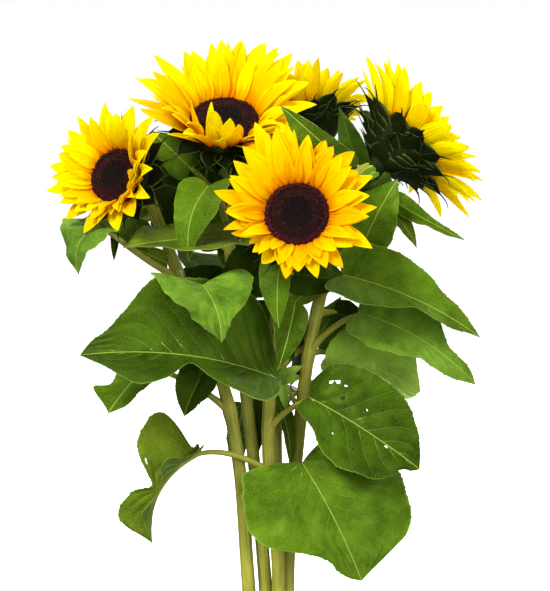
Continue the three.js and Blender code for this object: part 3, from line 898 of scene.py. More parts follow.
@dataclass
class RootCrown:
    """The low woody crown that the stems rise from: flat underneath and gnarled above."""

    radius: float = 31.0
    neck: float = 27.0
    height: float = 14.0
    toe_height: float = 5.0
    around: int = 96
    lobes: int = 7
    gnarl: float = 0.9

    def mesh(self, finish: Finish) -> bpy.types.Mesh:
        """Turns the crown's profile into a lobed, wrinkled body.

        Args:
            finish: what it is made of.

        Returns:
            The crown's mesh, in metres.
        """
        toe, neck, height = self.toe_height, self.neck, self.height
        profile = [(self.radius * s, 0.0) for s in np.linspace(0.04, 1, 8)]
        profile += [(self.radius, toe * s) for s in (0.25, 0.5)]
        profile += [(self.radius + (neck - self.radius) * s, toe / 2 + (height - toe / 2) * s**0.8)
                    for s in np.linspace(0.1, 1, 12)]
        profile += [(neck * (1 - s), height + 0.1 * s) for s in np.linspace(0.08, 0.96, 12)]
        angle = np.linspace(0, 2 * math.pi, self.around, endpoint=False)
        rough = sum(vary(3, k, 1) * np.cos(k * angle + 6 * vary(3, k, 2)) for k in range(2, 12)) / 6
        worn = self.gnarl * (1.1 + 0.5 * np.cos(self.lobes * angle) + rough)
        rings = [circle(radius - worn * min(1, radius / neck), z, angle) for radius, z in profile]
        return lofted("woody_crown", np.array(rings), finish)


# ---- Leaves -----------------------------------------------------------------------------------------


class Tone(Enum):
    """How green a leaf's upper face is. The tones partly differ as real leaves do and partly are painted
    light and shade: the darkest is painted shade on the leaves deep among the stems, and the bright and pale
    tones lift a few leaves that lie in shade.
    """

    DEEP = 0
    MIDDLE = 1
    BRIGHT = 2
    OLIVE = 3
    DARK = 4
    PALE = 5


@dataclass
class Leaf:
    """A leaf of one stem: where it grows, how it hangs, and the finer traits of its blade.

    Attributes:
        stem: the stem it grows on.
        up: the share of the stem's length at which it leaves it.
        stalk: the stalk's heading, rise and length.
        blade: the blade's heading, rise, length and width.
        roll, arch, fold, curl, lobe, nip, fullness, taper: the blade's shape, as in the frame's source.
        slim: the stalk's thickness, beside the usual one.
        twins: more blades on the same stalk.
        wave: how far the margin ripples, as a share of the width.
        waves: how many ripples run along each side.
        holes: what insects have eaten: each hole's share, side, and size in millimetres.
        bulges: how the outline differs: each one's side (-1 or 1), share, amount and spread.
        tone: how green it is; some tones are painted light and shade.
        bow: how far the stalk bows up, as a share of its length.
    """

    name: str
    stem: str
    up: float
    stalk: Triple
    blade: tuple[float, float, float, float]
    roll: float = 0.0
    arch: float = 0.1
    fold: float = 10.0
    curl: float = 0.0
    lobe: float = 0.2
    nip: float = 0.0
    fullness: float = 0.45
    taper: float = 1.12
    slim: float = 1.0
    twins: tuple[tuple[float, float, float, float], ...] = ()
    wave: float = 0.03
    waves: float = 2.3
    holes: tuple[Triple, ...] = ()
    bulges: tuple[tuple[float, float, float, float], ...] = ()
    tone: Tone = Tone.MIDDLE
    bow: float = 0.15

    @property
    def seed(self) -> float:
        """A number of the leaf's own, from its place on its stem."""
        return self.up * 37 + self.blade[3] * 0.31

    def base(self, root: Array) -> Array:
        """Where the blade begins, for a stalk that grows from a root."""
        heading, rise, length = self.stalk
        return root + direction(heading, rise) * length

    def blades(self, root: Array) -> list[Blade]:
        """The leaf's blades, for a stalk that grows from a root."""
        return [Blade(self, self.base(root), *blade) for blade in (self.blade, *self.twins)]


@dataclass
class Blade:
    """One blade of a leaf: a thin toothed sheet with a midrib and side veins under it."""

    leaf: Leaf
    base: Array
    heading: float
    rise: float
    length: float
    width: float
    thickness: float = 0.5
    row_pitch: float = 1.25
    column_pitch: float = 3.2
    crease: float = 0.1  # how softly the two halves meet at the midrib
    drip: float = 0.16  # the share of the length over which the tip draws out to a point
    nip_reach: float = 0.12  # the share of the length over which its waist is drawn in
    vein_pitch: float = 16.0
    vein_radii: tuple[float, float] = (0.6, 0.2)  # at the midrib and at the margin
    stagger: float = 0.45  # between the side veins of the two halves
    puff: float = 0.8  # how far the fields stand up between the side veins of a great leaf
    rumple: float = 1.5  # how deep its uneven dents are
    tooth_pitch: float = 5.0
    tooth: float = 1.5

    VEINS = "veins"
    PLAN = "plan"
    VEIN_SCALE = 40.0  # the vein count that the whole width of the map stands for
    PLAN_SCALE = 400.0  # the millimetres that the whole width of the map stands for

    @cached_property
    def size(self) -> float:
        """The blade's size beside a great leaf's."""
        return min(1.0, self.width / 90)

    @cached_property
    def vein_count(self) -> int:
        """How many side veins leave the midrib on each side."""
        return int(np.clip(round(self.length / self.vein_pitch), 5, 11))

    @cached_property
    def vein_sweep(self) -> float:
        """How far along the blade a side vein runs while it crosses to the margin."""
        return float(np.clip(0.85 * self.width / (2 * self.length), 0.2, 0.55))

    @cached_property
    def axes(self) -> tuple[Array, Array, Array]:
        """The directions along the blade, across it, and out of its upper face."""
        along = direction(self.heading, self.rise)
        across = turned(direction(self.heading - 90, 0), along, -math.radians(self.leaf.roll))
        return along, across, np.cross(across, along)

    def outline(self, share: Array) -> Array:
        """The blade's width at a share of its length, as a share of the widest."""
        leaf = self.leaf
        waist = 1 - leaf.nip * np.exp(-(((share - 0.5) / self.nip_reach) ** 2))
        point = np.minimum(1, (1 - share) / self.drip) ** max(0.0, 1.05 - leaf.taper)
        return waist * point * swelling(share, leaf.fullness, leaf.taper)

    def bulge(self, share: Array, side: Array) -> Array:
        """How the outline swells or draws in on each side of this leaf, as a factor."""
        factor = np.ones_like(share * side)
        for half, at, amount, spread in self.leaf.bulges:
            factor += amount * np.exp(-(((share - at) / spread) ** 2)) * smooth(side * half, 0.0, 0.3)
        return factor

    def vein_number(self, share: Array, side: Array) -> Array:
        """Which side vein passes a point, on its own half: a whole number on the vein itself."""
        return self.vein_count * (share - self.vein_sweep * np.abs(side) ** 0.85)

    def relief(self, share: Array, side: Array, reach: Array) -> Array:
        """How far the blade's skin stands up: ripples at the margin, and fields between the veins."""
        turn = 2 * math.pi * (self.leaf.waves * share + vary(self.leaf.seed, 1, 1) + 0.37 * (side < 0))
        swing = np.sin(turn) + 0.45 * np.sin(2.3 * turn + 1.7)
        ripple = self.leaf.wave * self.width * np.abs(side) ** 1.7 * swing * np.sin(math.pi * share**0.7)
        number = self.vein_number(share, side) + self.stagger * (side < 0)
        away = np.abs(number - np.round(number))
        fields = 1 - np.exp(-((away / 0.24) ** 2))
        inside = smooth(1 - np.abs(side), 0, 0.25) * smooth(np.abs(reach), 0.5, 9)
        groove = -0.9 * self.size * np.exp(-((reach / 1.8) ** 2)) * (1 - share)
        along = share * self.length
        bend = np.sin(along / 12 + 1.8 * np.sin(reach / 15 + self.leaf.seed) + 2 * self.leaf.seed)
        rumple = self.rumple * self.size * bend * np.cos(reach / 11 + 1.4 * np.sin(along / 17))
        return ripple + (self.puff * self.size * fields + rumple) * inside + groove

    def margin(self, shares: Array) -> Array:
        """How far it is along the untoothed margin to each of the shares."""
        return travelled(self.place(shares, np.array([1.0]), toothed=False)[0][:, 0])

    def teeth(self, share: Array) -> Array:
        """How far the margin's teeth stand out: each rises towards the tip and then falls away."""
        shares = np.linspace(0, 1, 400)
        run = self.margin(shares)
        pitch = self.tooth_pitch * (0.5 + 0.5 * self.size)
        number = np.interp(share, shares, run) / pitch
        part = number - np.floor(number)
        uneven = 0.6 + 0.4 * np.sin(np.floor(number) * 2.1 + self.leaf.seed)
        return self.tooth * self.size * part * uneven * smooth(share, 0.0, 0.06) * smooth(1 - share, 0.0, 0.1)

    def place(self, share: Array, side: Array, toothed: bool = True) -> tuple[Array, Array]:
        """The blade's middle surface.

        Args:
            share: shares of the length, from 0 at the stalk to 1 at the tip.
            side: places across, from -1 to 1.
            toothed: whether the teeth and the relief are there.

        Returns:
            The points and the upper face's direction at each, shares by sides.
        """
        s, q = np.broadcast_arrays(share[:, None], side[None, :])
        along, across, out = self.axes
        leaf = self.leaf
        slope = np.arctan(4 * leaf.arch * (1 - 2 * s))[..., None]
        tangent = np.cos(slope) * along + np.sin(slope) * out
        normal = np.cos(slope) * out - np.sin(slope) * along
        soft = q / (np.abs(q) + self.crease) * (1 + self.crease)
        tilt = (math.radians(leaf.fold) * soft)[..., None]
        outline = self.outline(s) * self.bulge(s, q)
        reach = q * np.maximum(outline * self.width / 2, 0.25)
        if toothed:
            reach = reach + np.sign(q) * self.teeth(share)[:, None] * smooth(np.abs(q), 0.8, 1.0)
        back = leaf.lobe * self.length * q**2 * outline * (1 - s) ** 3
        lift = reach * np.sin(tilt[..., 0]) - 2 * leaf.curl * reach**2 / self.width
        facing = normal * np.cos(tilt) - across * np.sin(tilt)
        point = (
            self.base
            + along * (s * self.length)[..., None]
            + out * (4 * leaf.arch * self.length * s * (1 - s))[..., None]
            - tangent * back[..., None]
            + across * (reach * np.cos(tilt[..., 0]))[..., None]
            + normal * lift[..., None]
        )
        if toothed:
            point = point + facing * self.relief(s, q, reach)[..., None]
        return point, facing

    def rows(self) -> Array:
        """The shares of the grid's rows, so that they step evenly along the margin and the midrib."""
        shares = np.linspace(0, 1, 600)
        run = self.margin(shares)
        mixed = 0.65 * run / run[-1] + 0.35 * shares
        count = int(np.clip(run[-1] / self.row_pitch, 24, 150))
        return np.interp(np.linspace(0, 1, count), mixed, shares)

    def sheet(self) -> tuple[Sheet, dict[str, Array]]:
        """The blade's sheet, and its places on the vein map and the plan map."""
        share = self.rows()
        pitch = self.column_pitch / (2 if self.leaf.holes else 1)
        half = int(np.clip(round(self.width / 2 / pitch), 6, 30))
        side = np.linspace(-1, 1, 2 * half + 1)
        points, facing = self.place(share, side)
        facing = self.true_facing(points, facing)
        keep = self.bites(share, side) if self.leaf.holes else None
        sheet = Sheet(points, facing, self.thickness, keep)
        s, q = np.broadcast_arrays(share[:, None], side[None, :])
        number = self.vein_number(s, q)
        veins = [np.stack([(number + shift) / self.VEIN_SCALE, np.abs(q)], -1)
                 for shift in (self.stagger, 0.0)]
        reach = q * self.outline(s) * self.width / 2
        plan = np.stack([0.5 + reach / self.PLAN_SCALE, 0.2 + s * self.length / self.PLAN_SCALE], -1)
        left, right = (cell_corners(sheet, places) for places in veins)
        column = np.arange(len(left)) % (len(side) - 1)
        by_half = np.where((column >= half)[:, None, None], right, left)
        return sheet, {self.VEINS: by_half, self.PLAN: cell_corners(sheet, plan)}

    @staticmethod
    def true_facing(points: Array, facing: Array) -> Array:
        """The surface's own direction at each point of a grid, on the same side as a rough one."""
        normal = unit(np.cross(np.gradient(points, axis=1), np.gradient(points, axis=0)))
        same = np.sign((normal * facing).sum(axis=-1, keepdims=True))
        weak = np.linalg.norm(np.gradient(points, axis=1), axis=-1, keepdims=True) < 0.05
        return np.where(weak, facing, normal * same)

    def bites(self, share: Array, side: Array) -> Array:
        """Which cells insects have left: every cell that lies outside the holes."""
        s = (share[1:] + share[:-1])[:, None] / 2
        q = (side[1:] + side[:-1])[None, :] / 2
        left = np.ones((len(share) - 1, len(side) - 1), bool)
        for at, across, size in self.leaf.holes:
            gap = np.hypot((s - at) * self.length, (q - across) * self.outline(s) * self.width / 2)
            left &= gap > size / 2
        return left

    def under(self, share: Array, side: Array, sink: float) -> Array:
        """Points just under the blade, one for each pair of a share and a side."""
        picked = [self.place(np.array([s]), np.array([q])) for s, q in zip(share, side)]
        return np.array([(p - f * sink)[0, 0] for p, f in picked])

    def veins(self) -> list[Strand]:
        """The side veins, which stand proud of the underside."""
        strands = []
        for half, shift in ((-1, self.stagger), (1, 0.0)):
            for k in range(-4, self.vein_count):
                q = np.linspace(0.02, 0.94, 14)
                s = (k - shift) / self.vein_count + self.vein_sweep * q**0.85
                on = (s > 0.01) & (s < 0.96)
                if on.sum() >= 4:
                    radii = np.linspace(*self.vein_radii, len(q)) * (0.45 + 0.55 * self.size)
                    strands.append(Strand(self.under(s[on], half * q[on], self.thickness / 2), radii[on]))
        return strands


@dataclass
class Stalk:
    """A leaf's stalk, which runs on as the midrib under its blade."""

    root_radius: float = 3.0
    tip_radius: float = 1.9
    into: float = 0.06  # the share of the blade's length at which the stalk becomes the midrib
    collar: float = 1.1  # how much thicker it is where it leaves the stem
    collar_reach: float = 7.0
    thinnest: float = 0.25  # the midrib's radius at its end
    rings: int = 30
    sides: int = 14
    furrows: int = 5
    furrow_depth: float = 0.06  # as a share of the radius

    def strand(self, leaf: Leaf, root: Array, stem_radius: float) -> Strand:
        """The stalk's middle line and radii.

        Args:
            leaf: the leaf.
            root: where the stalk leaves the middle of its stem.
            stem_radius: how thick the stem is there.

        Returns:
            The strand, from just inside the stem's rind to near the blade's tip.
        """
        blade = leaf.blades(root)[0]
        base = blade.base
        handle = (root + base) / 2 + np.array([0, 0, leaf.bow * leaf.stalk[2]])
        sunk = blade.axes[2] * leaf.slim * self.tip_radius
        end = blade.under(np.array([self.into]), np.array([0.0]), 0.25)[0] - 0.8 * sunk
        base = base - 0.4 * sunk
        t = np.linspace(0, 1, self.rings)[:, None]
        line = (1 - t) ** 3 * root + 3 * (1 - t) ** 2 * t * handle + 3 * (1 - t) * t**2 * base + t**3 * end
        radii = leaf.slim * (self.root_radius + (self.tip_radius - self.root_radius) * t[:, 0])
        away = t[:, 0] * leaf.stalk[2] / self.collar_reach
        radii = radii + self.collar * leaf.slim * np.exp(-(away**2))
        clear = np.linalg.norm(line - root, axis=1) > 0.7 * stem_radius
        share = np.linspace(self.into + 0.02, 0.93, 26)
        thin = leaf.slim * self.tip_radius * (1 - (share - self.into)) ** 1.4 * (0.4 + 0.6 * blade.size)
        rib = blade.under(share, np.zeros_like(share), blade.thickness / 2)
        rib = rib - blade.axes[2] * (0.75 * thin)[:, None]
        radii = np.concatenate([radii[clear], np.maximum(thin, self.thinnest)])
        return Strand(np.concatenate([line[clear], rib]), radii)


# ---- Flower heads -----------------------------------------------------------------------------------


@dataclass
class Petal:
    """A ray petal or a bract, in its head's own frame: +z is the way the flower faces.

    Attributes:
        angle: round the head.
        start: how far out its root is.
        level: how high its root is.
        length, width, root: its length, its widest, and half its width at the root.
        rise, recurve: how far it stands up, and how much more so at its root than in its middle.
        fullness, taper: how full it is towards its root, and how soon it narrows to its tip.
        cup: how far its edges stand up, as a share of the half width.
        rib: how deep its two lengthwise folds are.
        twist, bend, flick: how it turns about its length, swings sideways, and curls at its tip.
        tail: the share of its length that is a thin tail beyond its body.
    """

    angle: float
    start: float
    level: float
    length: float
    width: float
    root: float
    rise: float
    recurve: float
    fullness: float = 0.52
    taper: float = 0.7
    thickness: float = 0.35
    cup: float = 0.18
    rib: float = 0.35
    twist: float = 0.0
    bend: float = 0.0
    flick: float = 0.0
    tail: float = 0.0
    rows: int = 18
    columns: int = 9

    PLAN = "petal"

    def sheet(self) -> tuple[Sheet, dict[str, Array]]:
        """The petal's sheet, and its places on the petal map: across, and along from its root."""
        outward, sideways = direction(self.angle, 0), direction(self.angle + 90, 0)
        share = np.linspace(0, 1, self.rows) ** 0.92
        side = np.linspace(-1, 1, self.columns)
        pitch = np.radians(self.rise + self.recurve * (1 - 2 * share) + self.flick * share**3)
        swing = np.radians(self.bend) * share
        flat = np.cos(pitch)[:, None]
        way = flat * np.cos(swing)[:, None] * outward + flat * np.sin(swing)[:, None] * sideways
        way = way + np.sin(pitch)[:, None] * np.array([0, 0, 1.0])
        steps = (way[1:] + way[:-1]) / 2 * (np.diff(share) * self.length)[:, None]
        centre = outward * self.start + np.array([0, 0, self.level])
        centre = centre + np.concatenate([np.zeros((1, 3)), np.cumsum(steps, axis=0)])
        across = unit(sideways - way * (way @ sideways)[:, None])
        facing = np.cross(way, across)
        turn = np.radians(self.twist * share)[:, None]
        across, facing = (across * np.cos(turn) + facing * np.sin(turn),
                          facing * np.cos(turn) - across * np.sin(turn))
        swell = swelling(np.minimum(share / (1 - self.tail), 1), self.fullness, self.taper)
        half = np.maximum(self.width / 2 * swell, self.root * (1 - share) ** 3)
        half = np.maximum(half, 0.12 + 0.25 * self.tail * self.width * (1 - share))[:, None]
        q = side[None, :]
        ribbed = self.rib * np.cos(2.5 * math.pi * q) * np.sin(math.pi * share)[:, None]
        lift = self.cup * half * q**2 + ribbed
        points = centre[:, None] + across[:, None] * (half * q)[..., None] + facing[:, None] * lift[..., None]
        up = Blade.true_facing(points, np.broadcast_to(facing[:, None], points.shape))
        sheet = Sheet(points, up, self.thickness)
        places = np.stack(np.broadcast_arrays((q + 1) / 2, share[:, None]), -1)
        return sheet, {self.PLAN: cell_corners(sheet, places)}


@dataclass(frozen=True)
class Row:
    """One row of ray petals, and how far its petals differ from each other.

    Attributes:
        out, level: where its petals' roots are on the head's ring, as shares of its width and height.
        lift: how much more it stands up, as a share of the inner row's lift.
        part: its length beside the outer row's.
        first: what is added to a petal's number.
        jitter: how unevenly its petals follow each other.
        length, width, root, cup: its petals' usual shape.
        length_swing, width_swing, rise_swing, twist, bend: how far each of these ranges.
        less_length, less_width, more_rise: how they change where the head is ragged.
    """

    out: float
    level: float
    lift: float
    part: float = 1.0
    first: int = 0
    jitter: float = 0.5
    length: float = 1.0
    width: float = 0.96
    root: float = 2.3
    cup: float = 0.16
    length_swing: float = 0.2
    width_swing: float = 0.3
    rise_swing: float = 7.0
    twist: float = 50.0
    bend: float = 16.0
    less_length: float = 0.0
    less_width: float = 0.2
    more_rise: float = 30.0


OUTER = Row(out=0.6, level=0.35, lift=0)
INNER = Row(out=0.35, level=0.65, lift=1, part=0.92)
FILLING = Row(out=0.15, level=0.85, lift=1.6, first=50, jitter=0.8, length=0.82, width=0.8, root=2.0,
              cup=0.2, length_swing=0.24, width_swing=0.24, rise_swing=12, twist=60, bend=20,
              less_length=0.15, less_width=0.25, more_rise=40)


@dataclass
class Head:
    """A flower head: the cup with its bracts, the ray petals and the disc.

    Attributes:
        at: the middle of the cup's upper face.
        faces: the heading and rise it faces.
        disc: the disc's radius.
        rays, ray_length, ray_width: how many ray petals, and their usual size.
        spread: how far the petals stand up from the head's own level.
        gather: an angle round the head, and how much more the petals stand up there.
        reaches: angles round the head, each with the share by which the petals are longer there and how
            narrow the stretch is.
        seed: what its petals differ by.
        gather_power: how narrow the gathered stretch is.
        ragged: an angle round the head, and how much more the petals differ from each other there.
        tints: the numbers of the petal skins that are dealt out to its petals.
    """

    name: str
    at: Triple
    faces: tuple[float, float]
    disc: float
    rays: int
    ray_length: float
    ray_width: float
    spread: float
    seed: int
    gather: tuple[float, float] = (0.0, 0.0)
    reaches: tuple[Triple, ...] = ()
    gather_power: int = 2
    ragged: tuple[float, float] = (0.0, 0.0)
    tints: tuple[int, ...] = (0, 1, 2, 1)
    cup_depth: float = 24.0
    overhang: float = 5.0
    cup_base: float = 8.0
    belly: tuple[float, float] = (0.72, 0.62)
    shoulder: tuple[float, float] = (0.3, 0.6)
    ring_width: float = 4.2
    ring_height: float = 3.6
    inner_lift: float = 11.0
    recurve: float = 14.0
    extra_rays: int = 30
    bract_counts: tuple[int, ...] = (12, 10, 8, 7, 6, 5)
    bract_length: float = 27.0
    bract_width: float = 15.0
    bract_inward: float = 5.2  # from one row's roots to the next row's
    bract_downward: float = 4.4
    florets: int = 780
    dome: float = 0.3
    dimple: float = 0.12
    roundness: float = 2.6

    def differ(self, item: float, trait: float) -> float:
        """How one petal differs from the rest in a trait, from -0.5 to 0.5."""
        return vary(self.seed, item, trait) - 0.5

    def ray_spread(self, angle: float) -> float:
        """How far the petals stand up at an angle round the head."""
        towards, lift = self.gather
        return self.spread + lift * max(0.0, math.cos(math.radians(angle - towards))) ** self.gather_power

    def unrest(self, angle: float) -> float:
        """How much more than usual the petals differ at an angle round the head."""
        towards, more = self.ragged
        return more * max(0.0, math.cos(math.radians(angle - towards))) ** 3

    def ray_reach(self, angle: float) -> float:
        """How long the petals are at an angle round the head."""
        shares = (1 + more * max(0.0, math.cos(math.radians(angle - towards))) ** power
                  for towards, more, power in self.reaches)
        return self.ray_length * math.prod(shares)

    def ray(self, item: int, count: int, row: Row) -> Petal:
        """A ray petal.

        Args:
            item: its number among those that share their spacing with it.
            count: how many do.
            row: the row it stands in.

        Returns:
            The petal.
        """
        number = item + row.first
        angle = 360 / count * (item + row.jitter * self.differ(number, 1))
        unrest = self.unrest(angle)
        swing = row.length_swing + 0.5 * unrest
        return Petal(
            angle=angle,
            start=self.disc + self.ring_width * row.out,
            level=CLEARANCE + self.ring_height * row.level,
            length=self.ray_reach(angle) * row.part
            * (row.length - row.less_length * unrest + swing * self.differ(number, 2)),
            width=self.ray_width
            * (row.width - row.less_width * unrest + row.width_swing * self.differ(number, 3)),
            root=row.root,
            rise=self.ray_spread(angle) + row.lift * self.inner_lift
            + (row.rise_swing + row.more_rise * unrest) * self.differ(number, 4),
            recurve=self.recurve * (1 + self.differ(number, 5)),
            taper=0.86 + 0.2 * self.differ(number, 15),
            twist=(row.twist + 40 * unrest) * self.differ(number, 11),
            bend=(row.bend + 26 * unrest) * self.differ(number, 12),
            flick=(row.twist + 60 * unrest) * self.differ(number, 13),
            cup=row.cup + 0.3 * vary(self.seed, number, 14),
        )

    def rays_in_order(self) -> list[Petal]:
        """The frame's two rows of ray petals, and then the smaller ones that fill in between them."""
        ring = [self.ray(i, self.rays, (OUTER, INNER)[i % 2]) for i in range(self.rays)]
        return ring + [self.ray(i, self.extra_rays, FILLING) for i in range(self.extra_rays)]

    def bract(self, row: int, item: int) -> Petal:
        """A bract of one of the rows under the petals, from the innermost out."""
        number = item + 100 * row
        angle = 360 / self.bract_counts[row] * (item + 0.5 * row + 0.5 * vary(self.seed, number, 6))
        gathered = self.ray_spread(angle) - self.spread
        return Petal(
            angle=angle,
            start=self.disc + self.overhang - 2.0 - self.bract_inward * row,
            level=-6.0 - self.bract_downward * row,
            length=self.bract_length * (1 + 0.4 * vary(self.seed, number, 7)),
            width=self.bract_width * (1.2 + 0.3 * vary(self.seed, number, 8)),
            root=5.0,
            rise=self.spread * (0.8 - 0.1 * row) + 6 * row - 0.6 * gathered,
            recurve=4 - 6 * row + 10 * self.differ(number, 9),
            fullness=0.45,
            taper=0.85,
            tail=0.38,
            thickness=0.6,
            cup=0.35,
            rib=0.2,
            twist=30 * self.differ(number, 10),
            bend=30 * self.differ(number, 12),
            flick=-35 + 90 * self.differ(number, 11),
            rows=14,
            columns=7,
        )

    @cached_property
    def turn(self) -> Array:
        """The head's own x, y and z as rows, in the plant's frame."""
        faces = direction(*self.faces)
        level = direction(self.faces[0] + 90, 0)
        return np.array([level, np.cross(faces, level), faces])

    def placed(self, sheet: Sheet) -> Sheet:
        """A sheet of the head's own frame, put in its place on the plant."""
        return Sheet(sheet.middle @ self.turn + np.array(self.at, float), sheet.facing @ self.turn,
                     sheet.thickness)

    def petal_mesh(self, finishes: list[Finish]) -> bpy.types.Mesh:
        """All the ray petals, with the tints dealt out petal by petal.

        Args:
            finishes: the petals' tints.

        Returns:
            The petals' mesh, in metres.
        """
        piece = Piece()
        for number, petal in enumerate(self.rays_in_order()):
            sheet, maps = petal.sheet()
            tint = self.tints[int(vary(self.seed, number, 20) * len(self.tints))]
            piece.lay(self.placed(sheet), maps, (tint, tint))
        return piece.mesh(f"petals_{self.name}", finishes)

    def bract_mesh(self, finish: Finish) -> bpy.types.Mesh:
        """The rows of bracts.

        Args:
            finish: what they are made of.

        Returns:
            The bracts' mesh, in metres.
        """
        piece = Piece()
        for row, count in enumerate(self.bract_counts):
            for item in range(count):
                sheet, maps = self.bract(row, item).sheet()
                piece.lay(self.placed(sheet), maps)
        return piece.mesh(f"bracts_{self.name}", [finish])

    def turned_mesh(self, name: str, profile: list[tuple[float, float]], finish: Finish,
                    around: int = 64) -> bpy.types.Mesh:
        """A body of revolution on the head's axis, closed at both ends.

        Args:
            name: the mesh's name.
            profile: the radius and height of each ring, from the lower end to the upper one.
            finish: what it is made of.
            around: how many corners a ring has.

        Returns:
            The mesh, in metres, in its place on the plant.
        """
        angle = np.linspace(0, 2 * math.pi, around, endpoint=False)
        rings = np.array([circle(radius, z, angle) for radius, z in profile])
        return lofted(name, rings @ self.turn + np.array(self.at, float), finish)

    def cup_mesh(self, finish: Finish) -> bpy.types.Mesh:
        """The receptacle, from the end of the stem to the rim under the petals."""
        rim = self.disc + self.overhang
        down, out = self.belly
        drop, inset = self.shoulder
        depth, base = self.cup_depth, self.cup_base
        corners = [(base, -depth), (base + (rim - base) * out, -depth * down), (rim - inset, -depth * drop),
                   (rim, 0.0)]
        radii, heights = zip(*corners)
        heights_fine = np.linspace(-depth, 0, 16)
        profile = [(float(np.interp(z, heights, radii)), float(z)) for z in heights_fine]
        profile = [(0.5, -depth - 14), (base + 0.6, -depth - 14), (base + 1.0, -depth - 5), *profile[1:],
                   (rim - 1.5, 0.6), (self.disc, 0.7), (0.5, 0.7)]
        return self.turned_mesh(f"cup_{self.name}", profile, finish)

    def disc_mesh(self, finish: Finish) -> bpy.types.Mesh:
        """The dome that the florets stand on."""
        share = np.linspace(1, 0.02, 14)
        near = smooth(0.5 - share, 0, 0.5)
        height = self.disc * (self.dome * np.sqrt(1 - np.minimum(share, 1) ** self.roundness)
                              - self.dimple * near)
        radius = self.disc - CLEARANCE
        profile = [(0.5, CLEARANCE), (radius, CLEARANCE)]
        profile += [(float(radius * s), float(max(h, 0.6) + CLEARANCE)) for s, h in zip(share, height)]
        return self.turned_mesh(f"disc_{self.name}", profile, finish)


# ---- The whole plant --------------------------------------------------------------------------------

HEADS = {head.name: head for head in (
    Head("left", (-138, -30, 460), (-119, 21), 24, 28, 42, 17, 28, 8, gather=(10, 24),
         ragged=(290, 0.7), reaches=((310, -0.25, 1), (20, 0.35, 4), (210, -0.05, 1), (105, -0.06, 8))),
    Head("top", (-45, -10, 505), (-90, 50), 30, 32, 57, 19, 28, 12, gather=(248, 32), gather_power=3,
         ragged=(250, 0.9),
         reaches=((62, 0.12, 12), (88, 0.02, 16), (150, 0.03, 8), (186, 0.12, 8), (250, -0.12, 1))),
    Head("front", (19, -110, 432), (-95, 22), 26.5, 30, 46, 18, 15, 3,
         reaches=((245, -0.38, 1), (108, 0.32, 14)), ragged=(215, 1.0), tints=(1, 3, 3, 1)),
    # the pale petal skin, dealt out twice in four here, is painted light that lifts petals lying in shade, as
    # this head faces away from the key light
    Head("right", (111, 0, 485), (28, 33), 28, 30, 58, 19, 25, 4, gather=(285, -10),
         reaches=((172, -0.18, 2), (270, 0.18, 5), (225, -0.04, 6), (150, -0.12, 8)),
         tints=(2, 0, 2, 1), extra_rays=44, bract_length=31, bract_width=17),
    # the pale petal skin, dealt out three times in four here, is painted light that lifts the petals of this
    # head, which faces away from the key light
    Head("back", (31, 65, 505), (118, 58), 25, 28, 44, 17, 26, 1, gather=(200, -26),
         reaches=((60, 0.3, 12), (105, -0.15, 6)), tints=(2, 0, 2, 2)),
)}

STEMS = (
    Stem("left", (-19, -4), ((-25, -6, 102), (-33, -8, 203), (-48, -8, 276), (-76, -8, 344)), 22,
         HEADS["left"]),
    Stem("top", (-5, 7), ((-10, 8, 99), (-20, 10, 205), (-27, 13, 264), (-37, 20, 355)), 40,
         HEADS["top"]),
    Stem("front", (1, -11), ((3, -9, 103), (-6, -12, 209), (-5, -16, 268), (2, -32, 342)), 45,
         HEADS["front"]),
    Stem("right", (14, -3), ((12, 3, 100), (20, 8, 205), (32, 10, 306), (45, 8, 367)), 35,
         HEADS["right"]),
    Stem("back", (10, 12), ((7, 20, 96), (1, 20, 203), (4, 26, 290), (26, 44, 398)), 40, HEADS["back"]),
)
